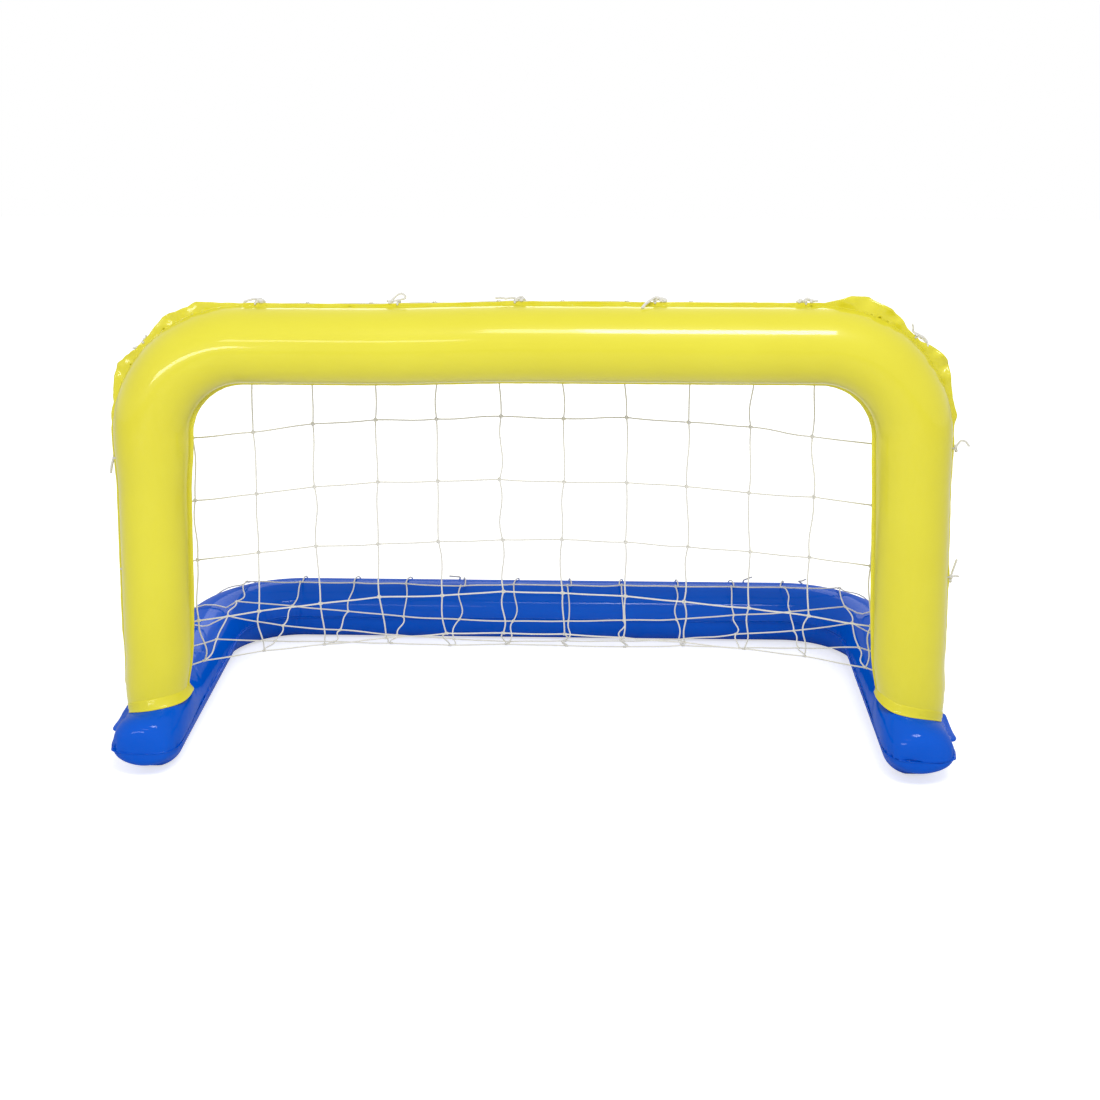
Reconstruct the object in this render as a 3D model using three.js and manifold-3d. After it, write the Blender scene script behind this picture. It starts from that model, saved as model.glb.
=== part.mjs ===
// An inflatable water polo goal: a yellow arch on a blue U-shaped base, with a tied net behind.
// Each tube is two vinyl panels welded edge to edge, so a thin flat margin runs along both its sides.
// Millimetres, +Z up, the goal's mouth faces -Y. The floor is z = 0.
import * as THREE from "three";
import { mergeVertices } from "three/addons/utils/BufferGeometryUtils.js";
import Module from "manifold-3d";

const wasm = await Module();
wasm.setup();

// Vinyl and cord
const SKIN = 0.6; // thickness of one vinyl panel
const GAP = 0.3; // between pieces that touch
const CORD = 2.6; // net cord, across
const TIE_CORD = 2.2; // tie cord, across
const OVERRUN = 20; // how far a cutting solid passes the piece that it cuts

// Arch
const ARCH_TUBE_R = 60;
const ARCH_FOOT_R = 50.5; // the tube narrows to this where it meets the base
const BAR_Z = 714; // centre line of the crossbar
const BAR_HALF = 448; // half of the straight crossbar
const ARCH_BEND_R = 150;
const POST_SPLAY = 3.08; // degrees that the posts lean outwards at the bottom
const FOOT_TAPER_LENGTH = 200;
const ARCH_MARGIN_OUT = 7;
const ARCH_MARGIN_IN = 5;
const UPPER_LOBE = 11; // the margin stands up in two wrinkled lobes on each bend
const LOWER_LOBE = 13;
const UPPER_LOBE_AT = 21; // degrees down from the top of the bend
const LOWER_LOBE_AT = 58;
const UPPER_LOBE_SPREAD = 11;
const LOWER_LOBE_SPREAD = 8.5;
const HEM_WIDTH = 11; // the post's lower edge, turned out over the base
const HEM_TILT = 6.2; // degrees that the hem falls towards the outside
const HEM_LOWEST = 29; // above the base's seam, on the post's centre line
const POST_END_UP = 26; // the post's panels end this far above the base's seam, or on the base

// Base
const BASE_TUBE_R = 56.8;
const BASE_FLAT = 2; // depth of the flat that the base rests on
const ARM_OUTSIDE = 9.4; // each arm's centre line lies outside the post's foot by this
const REAR_Y = 547; // centre line of the rear tube, behind the arch's plane
const BASE_BEND_R = 165;
const NOSE_LENGTH = 54;
const NOSE_TIP_Y = -99;
const BASE_MARGIN_OUT = 8;
const BASE_MARGIN_IN = 4;
const NOSE_MARGIN_SHARE = 0.3; // of the margin's width that is left at the nose's tip
const SHOULDER = 11.4; // swelling of the base's top under each post
const SHOULDER_AT = 45; // degrees up from the inner side
const SHOULDER_SPREAD = 35;
const SHOULDER_LENGTH = 75;
const TOP_SHIFT = 11; // the base's top leans inwards under each post
const TAB_REACH = 7; // how far the side tab passes the margin
const TAB_FRONT_Y = -18;
const TAB_BACK_Y = 96;
const TAB_CORNER_SHARE = 0.9; // of the tab's own width
const TAB_THICKNESS = 1.2;

// Valves
const VALVE_FLANGE_R = 17;
const VALVE_FLANGE_T = 0.8;
const STEM_R = 8.2;
const STEM_BORE_R = 5.6;
const STEM_OUT = 9; // the open stem stands this far out of the tube
const STEM_IN = 7;
const LIP_R = 10;
const LIP_T = 1.6;
const PLUG_TIP_R = 4.3;
const PLUG_ROOT_R = 5.1;
const PLUG_DEPTH = 5;
const PLUG_CAP_R = 9.4;
const PLUG_CAP_T = 1.8;
const HINGE_REACH = 12; // from the stem's axis to the strap's fold
const STRAP_WIDTH = 5;
const FLAP_T = 0.6;
const ARCH_VALVE_UP_SHARE = 0.6485; // of the post, from the base's seam to the bend
const BASE_VALVE_SHARE = 0.4725; // of the way from the middle to the arm's centre line
const BASE_VALVE_DOWN = 35; // degrees below level, on the back of the rear tube

// Net
const COLUMNS = 14;
const ROWS = 12;
const MOUTH_NET_SHARE = 1.076; // half of its width at the mouth, as a share of the bends' reach
const REAR_NET_SHARE = 1.085; // and over the rear tube, as a share of the arms' distance
const NET_CLEAR = 1.2; // cord to tube
const NET_TUCK = 55; // the net's edges stay this near to a tube's centre line
const REAR_TUCK = 43; // and this near to the rear tube's
const NET_TOP_ANGLE = 25; // degrees behind the crossbar's margin
const NET_REAR_ANGLE = 46; // degrees above the rear tube's margin
// The net's middle, from the crossbar to the rear tube: shares of REAR_Y and of BAR_Z.
const MIDDLE_ROUTE_SHARES = [
  [0.11, 0.801],
  [0.095, 0.672],
  [0.1, 0.532],
  [0.133, 0.392],
  [0.212, 0.262],
  [0.367, 0.172],
  [0.541, 0.123],
  [0.722, 0.116],
  [0.896, 0.165],
];
// The same at the outermost visible column, which drops down the post and lies over the arm.
const SIDE_ROUTE_SHARES = [
  [0.11, 0.896],
  [0.11, 0.751],
  [0.11, 0.469],
  [0.112, 0.22],
  [0.2, 0.18],
  [0.475, 0.19],
  [0.662, 0.176],
  [0.846, 0.169],
];
const SIDE_COLUMN_SHARE = 0.846; // where that column is, as a share of half the net

// Ties: the place of each knot, and how its tails lie as [along, outwards, backwards]
// The places are shares: of half the crossbar, of the post up to the bend, and of the arms' distance.
const TIE_HOLE_R = 2;
const TIE_HOLE_UP = 3.6; // from the tube to the hole's centre
const TIE_CLEAR = 1; // round the margin's edge and the net's border cord
const KNOT_R = 2.6;
const TOP_TIES = [
  { share: -0.942, tails: [[-11, 3.4, 1], [12, 3, 2]] },
  { share: -0.453, tails: [[8, 12, 0], [13, 6, 1]] },
  { share: -0.051, tails: [[-28, 2.5, 3], [9, 2.2, 2]] },
  { share: 0.426, tails: [[-19, -3, -9], [14, 5, 1]] },
  { share: 0.9375, tails: [[-13, 2.6, 2], [13, 3, 1]] },
];
const CORNER_TIES = [
  { side: -1, angle: 45, tails: [[-11, 6, 2], [13, 5, 1]] },
  { side: 1, angle: 41, tails: [[-14, 10, 2], [16, 8, 1]] },
];
const POST_TIES = [
  { side: -1, share: 0.9156, tails: [[24, 7, 1], [12, 5, 3]] },
  { side: -1, share: 0.5463, tails: [[12, 5, 2], [-9, 6, 2]] },
  { side: 1, share: 0.9686, tails: [[-9, 14, 1], [13, 20, 2]] },
  { side: 1, share: 0.5463, tails: [[-22, 9, 1], [5, 13, 1]] },
];
const REAR_TIES = [
  { share: -0.7874, tails: [[-8, 2, 5], [10, 2, 4]] },
  { share: -0.2677, tails: [[-12, 2, 5], [7, 2, 4]] },
  { share: 0.1339, tails: [[-9, 2, 5], [8, 2, 4]] },
  { share: 0.6299, tails: [[-12, 2, 5], [12, 2, 4]] },
  { share: 0.8189, tails: [[-8, 2, 5], [9, 2, 4]] },
];
const ARM_TIE_SHARE = 0.53; // of the way back to the rear tube
const ARM_TIE_TAILS = [[-10, 2, 5], [9, 2, 4]];

// Fineness of the curved faces
const TUBE_SIDES = 16;
const BEND_STEPS = 6;
const NOSE_STEPS = 5;
const FOOT_STEPS = 4;
const ROUND_SIDES = 14;
const HEM_SIDES = 16;
const CORNER_STEPS = 3;
const CORD_SIDES = 4;
const LOOP_STEPS = 18;
const TAIL_STEPS = 2;
const WRAP_STEPS = 4;

const radians = THREE.MathUtils.degToRad;
const halfGap = GAP / 2;
const marginHalf = halfGap + SKIN; // a margin is two skins with a gap between them
const splay = radians(POST_SPLAY);
const seamZ = BASE_TUBE_R - BASE_FLAT;
const bendZ = BAR_Z - ARCH_BEND_R;
const hemZ = seamZ + (3 * BASE_TUBE_R) / 4;
const armX = postPoint(1, seamZ).x + ARM_OUTSIDE;
const far = 2 * (BAR_HALF + ARCH_BEND_R + ARCH_TUBE_R + OVERRUN); // the reach of a cutting solid

const MATERIALS = {
  yellow: new THREE.MeshStandardMaterial({ color: 0xe4da4b, roughness: 0.32, metalness: 0 }),
  hem: new THREE.MeshStandardMaterial({ color: 0xd9cf45, roughness: 0.36, metalness: 0 }),
  blue: new THREE.MeshStandardMaterial({ color: 0x0f56bd, roughness: 0.25, metalness: 0 }),
  clear: new THREE.MeshStandardMaterial({ color: 0xe9edf0, roughness: 0.3, metalness: 0 }),
  cord: new THREE.MeshStandardMaterial({ color: 0xe8e6e0, roughness: 0.85, metalness: 0 }),
};

// Solids
// A closed body of a shape's triangles, with its faces turned outwards.
function solid(geometry) {
  const plain = geometry.index ? geometry.toNonIndexed() : geometry;
  const placed = new THREE.BufferGeometry().setAttribute("position", plain.getAttribute("position"));
  const merged = mergeVertices(placed, GAP / 1000);
  const vertProperties = new Float32Array(merged.attributes.position.array);
  const triVerts = new Uint32Array(merged.index.array);
  const body = new wasm.Manifold(new wasm.Mesh({ numProp: 3, vertProperties, triVerts }));
  if (body.volume() > 0) return body;
  return new wasm.Manifold(new wasm.Mesh({ numProp: 3, vertProperties, triVerts: triVerts.reverse() }));
}

function geometryOf(manifold) {
  const mesh = manifold.getMesh();
  const geometry = new THREE.BufferGeometry();
  geometry.setAttribute("position", new THREE.BufferAttribute(new Float32Array(mesh.vertProperties), 3));
  geometry.setIndex(new THREE.BufferAttribute(new Uint32Array(mesh.triVerts), 1));
  return geometry;
}

function block(low, high) {
  const size = high.clone().sub(low);
  const centre = low.clone().add(high).multiplyScalar(1 / 2);
  const box = new THREE.BoxGeometry(size.x, size.y, size.z);
  return solid(box.translate(centre.x, centre.y, centre.z));
}

// A round bar from one point to another.
function rod(from, to, radius, sides = ROUND_SIDES) {
  const along = to.clone().sub(from);
  const bar = new THREE.CylinderGeometry(radius, radius, along.length(), sides);
  const turn = new THREE.Quaternion().setFromUnitVectors(
    new THREE.Vector3(0, 1, 0),
    along.clone().normalize(),
  );
  const middle = from.clone().add(to).multiplyScalar(1 / 2);
  return solid(bar.applyQuaternion(turn).translate(middle.x, middle.y, middle.z));
}

// A ring of points per station, joined side to side, with an end point at each end.
function loft(rings, startPoint, endPoint) {
  const sides = rings[0].length;
  const positions = rings.flat().flatMap((point) => point.toArray());
  positions.push(...startPoint.toArray(), ...endPoint.toArray());
  const first = rings.length * sides;
  const last = first + 1;
  const index = [];
  for (let k = 0; k < sides; k++) {
    const next = (k + 1) % sides;
    index.push(first, next, k);
    for (let ring = 0; ring + 1 < rings.length; ring++) {
      const low = ring * sides;
      const high = low + sides;
      index.push(low + k, low + next, high + next, low + k, high + next, high + k);
    }
    index.push(last, first - sides + k, first - sides + next);
  }
  const geometry = new THREE.BufferGeometry();
  geometry.setAttribute("position", new THREE.Float32BufferAttribute(positions, 3));
  geometry.setIndex(index);
  return geometry;
}

// The arch's centre line
// Stations run from the left foot over the top to the right foot. Each has its place, the direction
// out of the arch in its plane, the tube's radius and, on a bend, the angle down from the top.
function footTaper(z) {
  const share = THREE.MathUtils.clamp(1 - (z - hemZ) / FOOT_TAPER_LENGTH, 0, 1);
  return ARCH_TUBE_R - (ARCH_TUBE_R - ARCH_FOOT_R) * share ** 2;
}

function postPoint(side, z) {
  const bendX = BAR_HALF + ARCH_BEND_R * Math.cos(splay);
  const bendEndZ = bendZ + ARCH_BEND_R * Math.sin(splay);
  return new THREE.Vector3(side * (bendX + (bendEndZ - z) * Math.tan(splay)), 0, z);
}

function postHeight(share) {
  return seamZ + share * (bendZ - seamZ);
}

function archStations(lowest) {
  const half = [];
  const bendEndZ = bendZ + ARCH_BEND_R * Math.sin(splay);
  for (let k = 0; k <= FOOT_STEPS; k++) {
    const z = lowest + ((hemZ + FOOT_TAPER_LENGTH - lowest) * k) / FOOT_STEPS;
    half.push({ point: postPoint(1, z), angle: 90 - POST_SPLAY, radius: footTaper(z) });
  }
  half.push({ point: postPoint(1, bendEndZ), angle: 90 - POST_SPLAY, radius: ARCH_TUBE_R });
  const turn = 90 - POST_SPLAY;
  for (let k = 1; k <= BEND_STEPS; k++) {
    const angle = turn * (1 - k / BEND_STEPS);
    const x = BAR_HALF + ARCH_BEND_R * Math.sin(radians(angle));
    const z = bendZ + ARCH_BEND_R * Math.cos(radians(angle));
    half.push({ point: new THREE.Vector3(x, 0, z), angle, radius: ARCH_TUBE_R, onBend: true });
  }
  for (const station of half) {
    const angle = radians(station.angle);
    station.out = new THREE.Vector3(Math.sin(angle), 0, Math.cos(angle));
  }
  const mirrored = half.map((station) => ({
    ...station,
    point: station.point.clone().setX(-station.point.x),
    out: station.out.clone().setX(-station.out.x),
  }));
  return [...mirrored, ...half.reverse()];
}

function archTube(grow, lowest) {
  const back = new THREE.Vector3(0, 1, 0);
  const stations = archStations(lowest);
  const rings = stations.map(({ point, out, radius }) =>
    ringPoints((turn) =>
      point
        .clone()
        .addScaledVector(out, (radius + grow) * Math.cos(turn))
        .addScaledVector(back, (radius + grow) * Math.sin(turn)),
    ),
  );
  return solid(loft(rings, stations[0].point, stations.at(-1).point));
}

function ringPoints(place) {
  return Array.from({ length: TUBE_SIDES }, (_, k) => place((2 * Math.PI * k) / TUBE_SIDES));
}

function lobe(angle, at, spread) {
  return Math.exp(-(((angle - at) / spread) ** 2));
}

function archMarginOut(angle) {
  return (
    ARCH_MARGIN_OUT * (1 - lobe(angle, (UPPER_LOBE_AT + LOWER_LOBE_AT) / 2, UPPER_LOBE_SPREAD) / 4) +
    UPPER_LOBE * lobe(angle, UPPER_LOBE_AT, UPPER_LOBE_SPREAD) +
    LOWER_LOBE * lobe(angle, LOWER_LOBE_AT, LOWER_LOBE_SPREAD)
  );
}

// The margin's outline in the arch's plane, with a hole for each tie.
function archMargin(lowest) {
  const fine = [];
  const stations = archStations(lowest);
  stations.forEach((station, k) => {
    fine.push(station);
    const next = stations[k + 1];
    if (!next || !(station.onBend || next.onBend) || station.angle === next.angle) return;
    const side = Math.sign(station.point.x);
    const angle = (station.angle + next.angle) / 2;
    const out = new THREE.Vector3(side * Math.sin(radians(angle)), 0, Math.cos(radians(angle)));
    const centre = new THREE.Vector3(side * BAR_HALF, 0, bendZ);
    fine.push({ point: centre.addScaledVector(out, ARCH_BEND_R), out, angle, radius: ARCH_TUBE_R });
  });
  const outer = fine.map(({ point, out, radius, angle }) =>
    point.clone().addScaledVector(out, radius + archMarginOut(angle)),
  );
  const inner = fine.map(({ point, out, radius }) =>
    point.clone().addScaledVector(out, -radius - ARCH_MARGIN_IN),
  );
  const outline = [...outer, ...inner.reverse()].map(({ x, z }) => new THREE.Vector2(x, z));
  const shape = new THREE.Shape(outline);
  for (const seat of archSeats()) {
    const centre = seat.origin.clone().addScaledVector(seat.out, seat.tube + TIE_HOLE_UP);
    shape.holes.push(new THREE.Path().absarc(centre.x, centre.z, TIE_HOLE_R, 0, 2 * Math.PI));
  }
  const plate = new THREE.ExtrudeGeometry(shape, {
    depth: 2 * marginHalf,
    bevelEnabled: false,
    curveSegments: CORNER_STEPS,
  });
  return solid(plate.rotateX(Math.PI / 2).translate(0, marginHalf, 0));
}

// The base's centre line
// Stations run from the left nose round the back to the right nose. Each has its place, the direction
// out of the U, its share of the tube's radius, and how its skin faces: outwards and forwards.
function baseStations() {
  const half = [];
  const straightStart = NOSE_TIP_Y + NOSE_LENGTH;
  for (let k = NOSE_STEPS - 1; k >= 1; k--) {
    const turn = (Math.PI / 2) * (k / NOSE_STEPS);
    const y = straightStart - NOSE_LENGTH * Math.sin(turn);
    const round = Math.sqrt(Math.cos(turn));
    const steepness = (BASE_TUBE_R * Math.sin(turn)) / (2 * round);
    const face = new THREE.Vector2(NOSE_LENGTH * round ** 2, steepness).normalize();
    half.push({ y, round, rim: face.x, lean: face.y });
  }
  for (let k = 0; k <= FOOT_STEPS; k++) {
    const y = straightStart + ((2 * SHOULDER_LENGTH - straightStart) * k) / FOOT_STEPS;
    half.push({ y, round: 1, rim: 1, lean: 0 });
  }
  for (const station of half) {
    station.point = new THREE.Vector3(armX, station.y, seamZ);
    station.out = new THREE.Vector3(1, 0, 0);
  }
  const centre = new THREE.Vector3(armX - BASE_BEND_R, REAR_Y - BASE_BEND_R, seamZ);
  for (let k = 0; k <= BEND_STEPS; k++) {
    const turn = (Math.PI / 2) * (k / BEND_STEPS);
    const out = new THREE.Vector3(Math.cos(turn), Math.sin(turn), 0);
    const point = centre.clone().addScaledVector(out, BASE_BEND_R);
    half.push({ point, out, y: point.y, round: 1, rim: 1, lean: 0 });
  }
  const mirrored = half.map((station) => ({
    ...station,
    point: station.point.clone().setX(-station.point.x),
    out: station.out.clone().setX(-station.out.x),
  }));
  return [...mirrored, ...half.reverse()];
}

// Under a post the base's top swells inwards and leans towards the goal's middle.
// A grown tube is the same surface moved outwards.
function basePoint(station, turn, grow) {
  const footShare = Math.exp(-((station.y / SHOULDER_LENGTH) ** 2));
  const fromInner = 180 - THREE.MathUtils.radToDeg(turn);
  const above = Math.max(0, Math.sin(turn));
  const swell = turn < Math.PI ? SHOULDER * footShare * lobe(fromInner, SHOULDER_AT, SHOULDER_SPREAD) : 0;
  const radius = (BASE_TUBE_R + swell) * station.round + grow * station.rim;
  const shift = TOP_SHIFT * footShare * above * station.round;
  const point = station.point.clone().addScaledVector(station.out, radius * Math.cos(turn) - shift);
  point.y -= grow * station.lean;
  point.z += radius * Math.sin(turn);
  return point;
}

// The tube rests on a flat strip where the floor presses it.
function baseTube(grow) {
  const stations = baseStations();
  const rings = stations.map((station) => ringPoints((turn) => basePoint(station, turn, grow)));
  const tip = (side) => new THREE.Vector3(side * armX, NOSE_TIP_Y - grow, seamZ);
  const aboveFloor = block(new THREE.Vector3(-far, -far, -grow), new THREE.Vector3(far, far, far));
  return solid(loft(rings, tip(-1), tip(1))).intersect(aboveFloor);
}

function baseMargin() {
  const stations = baseStations();
  const edge = (offset, margin) => ({ point, out, round, rim, lean }) => {
    const width = margin * (1 - (1 - NOSE_MARGIN_SHARE) * lean);
    const reach = offset * (BASE_TUBE_R * round + width * rim);
    return new THREE.Vector2(point.x + out.x * reach, point.y + out.y * reach - width * lean);
  };
  const outer = stations.map(edge(1, BASE_MARGIN_OUT));
  const inner = stations.map(edge(-1, BASE_MARGIN_IN)).reverse();
  const tipY = NOSE_TIP_Y - (NOSE_MARGIN_SHARE * (BASE_MARGIN_IN + BASE_MARGIN_OUT)) / 2;
  const tip = (side) => new THREE.Vector2(side * armX, tipY);
  const shape = new THREE.Shape([tip(-1), ...outer, tip(1), ...inner]);
  for (const seat of baseSeats()) {
    const centre = seat.origin.clone().addScaledVector(seat.out, seat.tube + TIE_HOLE_UP);
    shape.holes.push(new THREE.Path().absarc(centre.x, centre.y, TIE_HOLE_R, 0, 2 * Math.PI));
  }
  const plate = new THREE.ExtrudeGeometry(shape, {
    depth: 2 * marginHalf,
    bevelEnabled: false,
    curveSegments: CORNER_STEPS,
  });
  return solid(plate.translate(0, 0, seamZ - marginHalf));
}

// Where each tie goes through a margin: the tube's centre line there, the way out of the tube,
// the way along it and the way towards the net.
function archSeats() {
  const back = new THREE.Vector3(0, 1, 0);
  const tops = TOP_TIES.map((tie) => ({
    tails: tie.tails,
    origin: new THREE.Vector3(tie.share * BAR_HALF, 0, BAR_Z),
    out: new THREE.Vector3(0, 0, 1),
    along: new THREE.Vector3(1, 0, 0),
    tube: ARCH_TUBE_R,
    edge: archMarginOut(0),
  }));
  const corners = CORNER_TIES.map((tie) => {
    const angle = radians(tie.angle);
    const out = new THREE.Vector3(tie.side * Math.sin(angle), 0, Math.cos(angle));
    return {
      tails: tie.tails,
      origin: new THREE.Vector3(tie.side * BAR_HALF, 0, bendZ).addScaledVector(out, ARCH_BEND_R),
      out,
      along: new THREE.Vector3(Math.cos(angle), 0, -tie.side * Math.sin(angle)),
      tube: ARCH_TUBE_R,
      edge: archMarginOut(tie.angle),
    };
  });
  const posts = POST_TIES.map((tie) => ({
    tails: tie.tails,
    origin: postPoint(tie.side, postHeight(tie.share)),
    out: new THREE.Vector3(tie.side * Math.cos(splay), 0, Math.sin(splay)),
    along: new THREE.Vector3(tie.side * Math.sin(splay), 0, -Math.cos(splay)),
    tube: footTaper(postHeight(tie.share)),
    edge: archMarginOut(90 - POST_SPLAY),
  }));
  return [...tops, ...corners, ...posts].map((seat) => ({ ...seat, back }));
}

function baseSeats() {
  const back = new THREE.Vector3(0, 0, 1);
  const rear = REAR_TIES.map((tie) => {
    const x = tie.share * armX;
    const bendStart = armX - BASE_BEND_R;
    const past = Math.max(0, Math.abs(x) - bendStart);
    const angle = Math.asin(past / (BASE_BEND_R + BASE_TUBE_R)) * Math.sign(x);
    const out = new THREE.Vector3(Math.sin(angle), Math.cos(angle), 0);
    const bend = new THREE.Vector3(Math.sign(x) * bendStart, REAR_Y - BASE_BEND_R, seamZ);
    return {
      tails: tie.tails,
      origin: past ? bend.addScaledVector(out, BASE_BEND_R) : new THREE.Vector3(x, REAR_Y, seamZ),
      out,
      along: new THREE.Vector3(Math.cos(angle), -Math.sin(angle), 0),
    };
  });
  const arms = [-1, 1].map((side) => ({
    tails: ARM_TIE_TAILS,
    origin: new THREE.Vector3(side * armX, ARM_TIE_SHARE * REAR_Y, seamZ),
    out: new THREE.Vector3(side, 0, 0),
    along: new THREE.Vector3(0, 1, 0),
  }));
  return [...rear, ...arms].map((seat) => ({ ...seat, back, tube: BASE_TUBE_R, edge: BASE_MARGIN_OUT }));
}

// Panels: half of a tube with its margin, hollow inside
const discLayer = GAP + SKIN;
const hemLayer = discLayer + GAP;

function archPanel(isFront) {
  const lowest = seamZ + POST_END_UP;
  const keep = isFront
    ? block(new THREE.Vector3(-far, -far, -far), new THREE.Vector3(far, -halfGap, far))
    : block(new THREE.Vector3(-far, halfGap, -far), new THREE.Vector3(far, far, far));
  return archTube(0, lowest)
    .add(archMargin(lowest).subtract(baseTube(hemLayer + SKIN + GAP)))
    .intersect(keep)
    .subtract(archTube(-SKIN, lowest - OVERRUN))
    .subtract(baseTube(hemLayer));
}

function basePanel(isTop) {
  const keep = isTop
    ? block(new THREE.Vector3(-far, -far, seamZ + halfGap), new THREE.Vector3(far, far, far))
    : block(new THREE.Vector3(-far, -far, -far), new THREE.Vector3(far, far, seamZ - halfGap));
  return baseTube(0).add(baseMargin()).intersect(keep).subtract(baseTube(-SKIN));
}

// The lower edge of a post: a disc welded to the base closes it, and its rim is turned out.
// Both follow the base's surface and stop above a plane that falls towards the outside.
function footLayer(side, low, high, section) {
  const bottom = postPoint(side, seamZ);
  const cutoff = new THREE.BoxGeometry(far / 4, far / 4, far / 4);
  cutoff.translate(0, 0, far / 8).rotateY(side * radians(HEM_TILT));
  cutoff.translate(bottom.x, 0, seamZ + HEM_LOWEST);
  return section.intersect(baseTube(high).subtract(baseTube(low))).intersect(solid(cutoff));
}

function postRod(side, radius, extra) {
  const from = postPoint(side, seamZ - extra);
  return rod(from, postPoint(side, BAR_Z / 2 + extra), radius, HEM_SIDES);
}

function footDisc(side) {
  return footLayer(side, GAP, discLayer, postRod(side, ARCH_FOOT_R + HEM_WIDTH, 0));
}

function footHem(side) {
  const widest = footTaper(seamZ + BASE_TUBE_R + SHOULDER) + GAP;
  const round = widest / Math.cos(Math.PI / HEM_SIDES) + GAP;
  const section = postRod(side, ARCH_FOOT_R + HEM_WIDTH, 0).subtract(postRod(side, round, OVERRUN));
  return footLayer(side, hemLayer, hemLayer + SKIN, section);
}

// A rounded vinyl tab welded under the base's margin beside each foot.
function sideTab(side) {
  const inside = armX + BASE_TUBE_R + GAP;
  const outside = armX + BASE_TUBE_R + BASE_MARGIN_OUT + TAB_REACH;
  const cornerR = (outside - inside) * TAB_CORNER_SHARE;
  const shape = new THREE.Shape();
  shape.moveTo(inside, TAB_FRONT_Y);
  shape.lineTo(outside - cornerR, TAB_FRONT_Y);
  shape.absarc(outside - cornerR, TAB_FRONT_Y + cornerR, cornerR, -Math.PI / 2, 0);
  shape.lineTo(outside, TAB_BACK_Y - cornerR);
  shape.absarc(outside - cornerR, TAB_BACK_Y - cornerR, cornerR, 0, Math.PI / 2);
  shape.lineTo(inside, TAB_BACK_Y);
  const plate = new THREE.ExtrudeGeometry(shape, {
    depth: TAB_THICKNESS,
    bevelEnabled: false,
    curveSegments: CORNER_STEPS,
  });
  plate.translate(0, 0, seamZ - halfGap - SKIN - GAP - TAB_THICKNESS);
  return solid(plate.scale(side, 1, 1));
}

// Safety valves
// Each valve is drawn with its stem along +Z and the tube's skin at z = 0, then turned into place.
const VALVES = {
  arch: {
    skin: ARCH_TUBE_R,
    tube: (grow) => archTube(grow, seamZ),
    origin: postPoint(1, postHeight(ARCH_VALVE_UP_SHARE)),
    out: new THREE.Vector3(0, 1, 0),
    fold: new THREE.Vector3(1, 0, 0),
  },
  base: {
    skin: BASE_TUBE_R,
    tube: baseTube,
    origin: new THREE.Vector3(BASE_VALVE_SHARE * armX, REAR_Y, seamZ),
    out: new THREE.Vector3(0, Math.cos(radians(BASE_VALVE_DOWN)), -Math.sin(radians(BASE_VALVE_DOWN))),
    fold: new THREE.Vector3(1, 0, 0),
  },
};

function valveFrame({ origin, out, fold, skin }) {
  const side = new THREE.Vector3().crossVectors(out, fold);
  const frame = new THREE.Matrix4().makeBasis(fold, side, out);
  return frame.setPosition(origin.clone().addScaledVector(out, skin));
}

function valveHole(valve) {
  const hole = new THREE.CylinderGeometry(STEM_R + GAP, STEM_R + GAP, OVERRUN, ROUND_SIDES);
  return solid(hole.rotateX(Math.PI / 2).applyMatrix4(valveFrame(valve)));
}

function valveFlange(valve) {
  const disc = new THREE.CylinderGeometry(VALVE_FLANGE_R, VALVE_FLANGE_R, OVERRUN, ROUND_SIDES);
  const layer = valve.tube(GAP + VALVE_FLANGE_T).subtract(valve.tube(GAP));
  return solid(disc.rotateX(Math.PI / 2).applyMatrix4(valveFrame(valve)))
    .intersect(layer)
    .subtract(valveHole(valve));
}

// The stem is a tube with a lip at its mouth, and a lug on the lip for the plug's strap.
function valveStem() {
  const stem = turned([
    [STEM_BORE_R, -STEM_IN],
    [STEM_R, -STEM_IN],
    [STEM_R, STEM_OUT - LIP_T],
    [LIP_R, STEM_OUT - LIP_T],
    [LIP_R, STEM_OUT],
    [STEM_BORE_R, STEM_OUT],
    [STEM_BORE_R, -STEM_IN],
  ]);
  const lug = block(
    new THREE.Vector3(-HINGE_REACH + GAP + PLUG_CAP_T / 2, -STRAP_WIDTH / 2, STEM_OUT - LIP_T),
    new THREE.Vector3(-STEM_R, STRAP_WIDTH / 2, STEM_OUT),
  );
  return stem.add(lug);
}

// A profile of [radius, height] turned round the stem's axis.
function turned(profile) {
  const points = profile.map(([radius, height]) => new THREE.Vector2(radius, height));
  return solid(new THREE.LatheGeometry(points, ROUND_SIDES).rotateX(Math.PI / 2));
}

// The check flap hangs below the stem's inner mouth and lets air in but not out.
function valveFlap() {
  const flap = new THREE.CylinderGeometry(STEM_R, STEM_R, FLAP_T, ROUND_SIDES);
  return solid(flap.rotateX(Math.PI / 2).translate(0, 0, -STEM_IN - GAP - FLAP_T / 2));
}

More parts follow.
